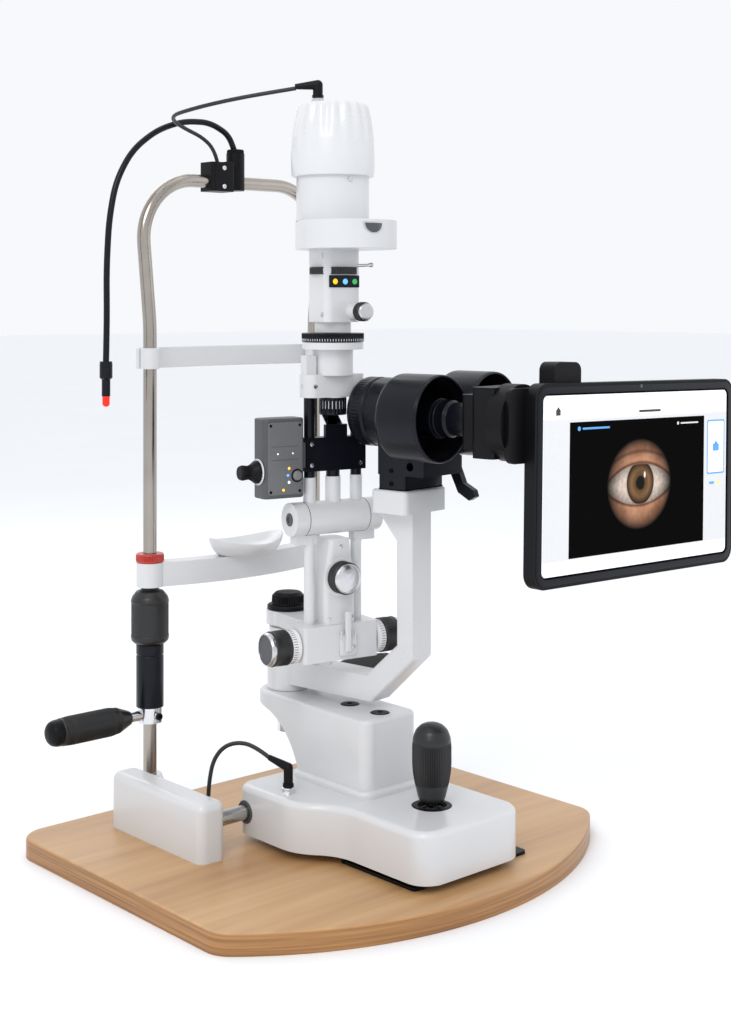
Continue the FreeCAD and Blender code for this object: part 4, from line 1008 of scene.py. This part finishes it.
class SLITLAMP_OT_head_frame(GroupOperator):
    """Builds the head frame's grips, knobs, collars, chin cup and small screws"""

    bl_idname = "slitlamp.head_frame"
    bl_label = "Head frame"

    def make(self, settings):
        grips, caps, collars, bands = [], [], [], []
        for side in (-1, 1):
            at, way = (side * (POST_X + 24), POST_Y, GRIP_Z), (side, 0, 0)
            grips.append(lathe([(0, 0), (6.5, 0), (9, 6), (12.6, 15), (14, 24), (14, 68),
                                (13.4, 77), (12.9, 80), (0, 80)], at, way, 288, ease=1.5, step=1.5,
                               ripple=crossed(44, 1.0, 3.0, 16, 77)))
            caps.append(lathe([(0, 79.5), (12.7, 79.5), (12.7, 84), (11.4, 88.6), (8.4, 91.4),
                               (4, 92.8), (0, 93)], at, way, 72, ease=1.2))
            foot = (side * POST_X, POST_Y, 0)
            collars.append(lathe([(6.8, 0.2), (14.5, 0.2), (14.5, 20), (13.9, 20.6), (13.9, 30),
                                  (14.5, 30.6), (14.5, 35.4), (12, 42), (6.8, 42)], foot, steps=96))
            bands.append(lathe([(6.8, 21), (14.25, 21), (14.25, 29.6), (6.8, 29.6)], foot,
                               steps=200, step=1.5, ripple=fluted(40, 0.4, 21.4, 29.2)))
        build("grip_sleeves", grips, "stand", "rubber_black", "black_rubber", nodes=("hand_grips",))
        build("grip_caps", caps, "stand", "moulded_black", "black_matte")
        build("foot_collars", collars, "stand", "chrome", "chrome", nodes=("post_collars",))
        build("foot_bands", bands, "stand", "panel_grey", "grey_panel")
        post = (-POST_X, POST_Y, 0)
        build("lift_sleeve", lathe([(6.8, 109.2), (13.7, 109.2), (13.7, 160), (13.2, 160.5),
                                    (13.2, 161.5),
                                    (13.7, 162), (13.7, 171.8), (6.8, 171.8)], post, steps=96),
              "stand", "satin_black", "black_satin", nodes=("chin_lift_sleeve",))
        build("lift_knob", lathe([(6.9, 172.4), (15, 172.4), (18.4, 175.6), (19, 179), (19, 215),
                                  (17.8, 219), (13.4, 224.6), (8.8, 226), (8.8, 228), (6.9, 228)],
                                 post, steps=336, ease=1.0, step=1.5,
                                 ripple=crossed(52, 1.1, 3.0, 180, 214)),
              "chin_knob", "rubber_black", "black_rubber", nodes=("chin_lift_knob",))
        build("lock_ring", lathe([(6.9, 253.1), (13.2, 253.1), (14, 254.6), (14, 260.6),
                                  (13.2, 262), (6.9, 262)], post, steps=240, step=1.2,
                                 ripple=fluted(40, 0.9, 254.6, 260.6)),
              "chin_rest", "red_knurl", "red_ring", nodes=("chin_lock_ring",))

        dish = lathe([(0, 4.6), (16, 5.2), (28, 7.4), (37, 10.6), (42, 12.6), (44, 12.4),
                      (44.6, 10.8),
                      (43, 7), (38, 2.6), (33, 0.1), (0, 0.1)], steps=96, ease=2.5, step=2.4)
        dish[..., 2] += 7.5 * (dish[..., 0] / 44) ** 2 * np.clip(dish[..., 2] / 10, 0, 1)
        dish[..., 1] *= 0.62 + 0.06 * np.cos(dish[..., 0] / 14)
        build("chin_cup_dished", dish + (0, POST_Y - 19, 253), "chin_rest", "enamel",
              "white_plastic", nodes=("chin_cup",), sharp=60)
        clamp_screws = [socket_screw((s * POST_X, POST_Y - 14.8, GRIP_Z), (0, -1, 0), 3.6, 2.6)
                        for s in (-1, 1)]
        build("clamp_screws", clamp_screws, "stand", "satin_black", "black_satin")
        build("neck_clamp_screws", [socket_screw((-23.5, POST_Y - 11.9, z), (0, -1, 0), 2.4, 0.9)
                                    for z in (632, 651)], "stand", "turned_silver", "chrome")
        build("neck_socket_ring", lathe([(5.4, 666), (8.4, 666), (8.9, 667), (8.9, 671), (8.2, 672),
                                         (5.4, 672)], (0, POST_Y, 0), steps=160,
                                        ripple=fluted(32, 0.6, 667, 671), step=1.0),
              "stand", "moulded_black", "black_matte")


class SLITLAMP_OT_base(GroupOperator):
    """Builds the joystick, its bezel, the column's plugs and the axle's rings"""

    bl_idname = "slitlamp.base"
    bl_label = "Base"

    def make(self, settings):
        at = (BASE_X, STICK_Y, 0)
        grip = [(5.1, 58.1), (11, 58.1), (12.6, 62), (16.0, 76), (17.4, 84), (18, 92), (18, 108),
                (17.2, 116.5), (14.6, 123), (10, 127.4), (5, 129.3), (0, 129.8)]
        build("stick_knurled_grip", lathe(grip, at, steps=settings.stick_flutes * 4, ease=1.8,
                                          step=1.6,
                                          ripple=fluted(settings.stick_flutes, 0.75, 73, 112)),
              "stick_grip", "rubber_black", "black_rubber", nodes=("joystick_grip",))
        build("stick_bezel", lathe([(13.4, 53.2), (19, 53.2), (18.8, 54.0), (17.4, 54.6),
                                    (15, 54.8),
                                    (13.4, 54.3)], at, steps=96), "base", "moulded_black",
              "black_matte")
        build("stick_shroud", lathe([(11.2, 51), (13.4, 51), (13.4, 53.2), (11.2, 53.2)], at,
                                    steps=72, ease=0.3), "base", "deep_black", "black_matte")
        build("column_plugs", [lathe([(0, 122.2), (9.3, 122.2), (9.3, 124.6), (8.6, 125.5),
                                      (2.6, 125.5),
                                      (2.4, 124.7), (0, 124.7)], (BASE_X, y, 0), steps=64)
                               for y in (-7, -50)], "base", "moulded_black", "black_matte")
        build("axle_rings", [lathe([(7.2, -0.8), (11, -0.8), (11, 0.3), (10.2, 0.8), (7.2, 0.8)],
                                   (BASE_X + s * 91, 40, 29), (s, 0, 0), 72) for s in (-1, 1)],
              "base", "panel_grey", "grey_panel")


class SLITLAMP_OT_stage(GroupOperator):
    """Sets the floor, the soft lights and the camera"""

    bl_idname = "slitlamp.stage"
    bl_label = "Stage"

    def make(self, settings):
        scene = bpy.context.scene
        u = np.linspace(-1, 1, 9)
        x, y = np.meshgrid(u * FLOOR_HALF, u * FLOOR_HALF, indexing="ij")
        mesh = bpy.data.meshes.new("floor")
        index = np.arange(81).reshape(9, 9)
        quads = np.stack([index[:-1, :-1], index[1:, :-1], index[1:, 1:], index[:-1, 1:]], -1)
        mesh.from_pydata(np.stack([x, y, 0 * x - 0.0002], -1).reshape(-1, 3).tolist(), [],
                         quads.reshape(-1, 4).tolist())
        m = Nodes("floor_paper")
        clouds = m.noise(m.place(), 3.0)
        m.set(Base_Color=m.ramp(clouds, [(0.3, (0.935, 0.945, 0.965)), (0.7, (0.95, 0.96, 0.98))]),
              Roughness=0.85)
        mesh.materials.append(FINISH["floor_paper"])
        floor = bpy.data.objects.new("floor", mesh)
        scene.collection.objects.link(floor)

        world = bpy.data.worlds.new("soft_room")
        world.use_nodes = True
        background = world.node_tree.nodes["Background"]
        background.inputs["Color"].default_value = (0.93, 0.945, 0.97, 1)
        background.inputs["Strength"].default_value = settings.room_light
        scene.world = world
        for name, at, target, size, power in (
            ("key", (-1.7, -1.0, 1.9), (0, 0, 0.35), 1.0, 17.0),
            ("fill", (1.7, -1.2, 1.1), (0, 0, 0.35), 1.5, 2.0),
            ("rim", (0.4, 1.9, 1.7), (0, 0, 0.45), 1.2, 6.0),
            ("top", (0, 0, 2.4), (0, 0, 0), 1.6, 4.0),
        ):
            lamp = bpy.data.lights.new(name, "AREA")
            lamp.shape = "SQUARE"
            lamp.size = size
            lamp.energy = power
            holder = bpy.data.objects.new(name, lamp)
            a, b, w = axes_of(np.array(at, float) - np.array(target, float))
            matrix = np.eye(4)
            matrix[:3, 0], matrix[:3, 1], matrix[:3, 2], matrix[:3, 3] = a, b, w, at
            holder.matrix_world = Matrix(matrix.tolist())
            scene.collection.objects.link(holder)

        camera = bpy.data.cameras.new("camera")
        camera.sensor_width = 36
        camera.lens = settings.lens
        camera.shift_y = FRAME_SHIFT
        camera.clip_end = 60
        eye = bpy.data.objects.new("camera", camera)
        eye.location = CAMERA_AT
        eye.rotation_euler = (math.radians(90), 0, math.radians(CAMERA_TURN))
        scene.collection.objects.link(eye)
        scene.camera = eye
        scene.view_settings.view_transform = "Standard"


class SlitLampSettings(bpy.types.PropertyGroup):
    """Sizes and colours that a user may change"""

    enamel: FloatVectorProperty(name="Enamel", description="Colour of the white castings",
                                subtype="COLOR", default=(0.675, 0.68, 0.69), min=0, max=1)
    black: FloatVectorProperty(name="Black", description="Colour of the satin black parts",
                               subtype="COLOR", default=(0.006, 0.0075, 0.013), min=0, max=1)
    edge_radius: FloatProperty(name="Edge radius",
                               description="Rounding of sharp edges, in millimetres",
                               default=0.5, min=0, max=2)
    cap_flutes: IntProperty(name="Cap flutes", description="Number of flutes round the lamp's cap",
                            default=18, min=6, max=40)
    stick_flutes: IntProperty(name="Stick flutes", description="Number of grooves on the joystick",
                              default=64, min=20, max=120)
    lens: FloatProperty(name="Lens", description="The camera's focal length", default=55.4, min=20,
                        unit="CAMERA")
    room_light: FloatProperty(name="Room light", description="Strength of the even light all round",
                              default=1.0, min=0, max=3)


GROUPS = (SLITLAMP_OT_finishes, SLITLAMP_OT_castings, SLITLAMP_OT_cords, SLITLAMP_OT_lamp_head,
          SLITLAMP_OT_tower, SLITLAMP_OT_control_box, SLITLAMP_OT_microscope, SLITLAMP_OT_tablet,
          SLITLAMP_OT_head_frame, SLITLAMP_OT_base, SLITLAMP_OT_stage)


class SLITLAMP_PT_panel(bpy.types.Panel):
    """Lists the groups and their settings"""

    bl_label = "Slit Lamp"
    bl_space_type = "VIEW_3D"
    bl_region_type = "UI"
    bl_category = "Slit Lamp"

    def draw(self, context):
        for name in SlitLampSettings.__annotations__:
            self.layout.prop(context.scene.slit_lamp, name)
        for group in GROUPS:
            self.layout.operator(group.bl_idname)


CLASSES = (SlitLampSettings,) + GROUPS + (SLITLAMP_PT_panel,)


def register():
    for each in CLASSES:
        bpy.utils.register_class(each)
    bpy.types.Scene.slit_lamp = PointerProperty(type=SlitLampSettings)


def unregister():
    del bpy.types.Scene.slit_lamp
    for each in reversed(CLASSES):
        bpy.utils.unregister_class(each)


def main():
    register()
    for group in GROUPS:
        getattr(bpy.ops.slitlamp, group.bl_idname.split(".")[1])()


if __name__ == "__main__":
    main()
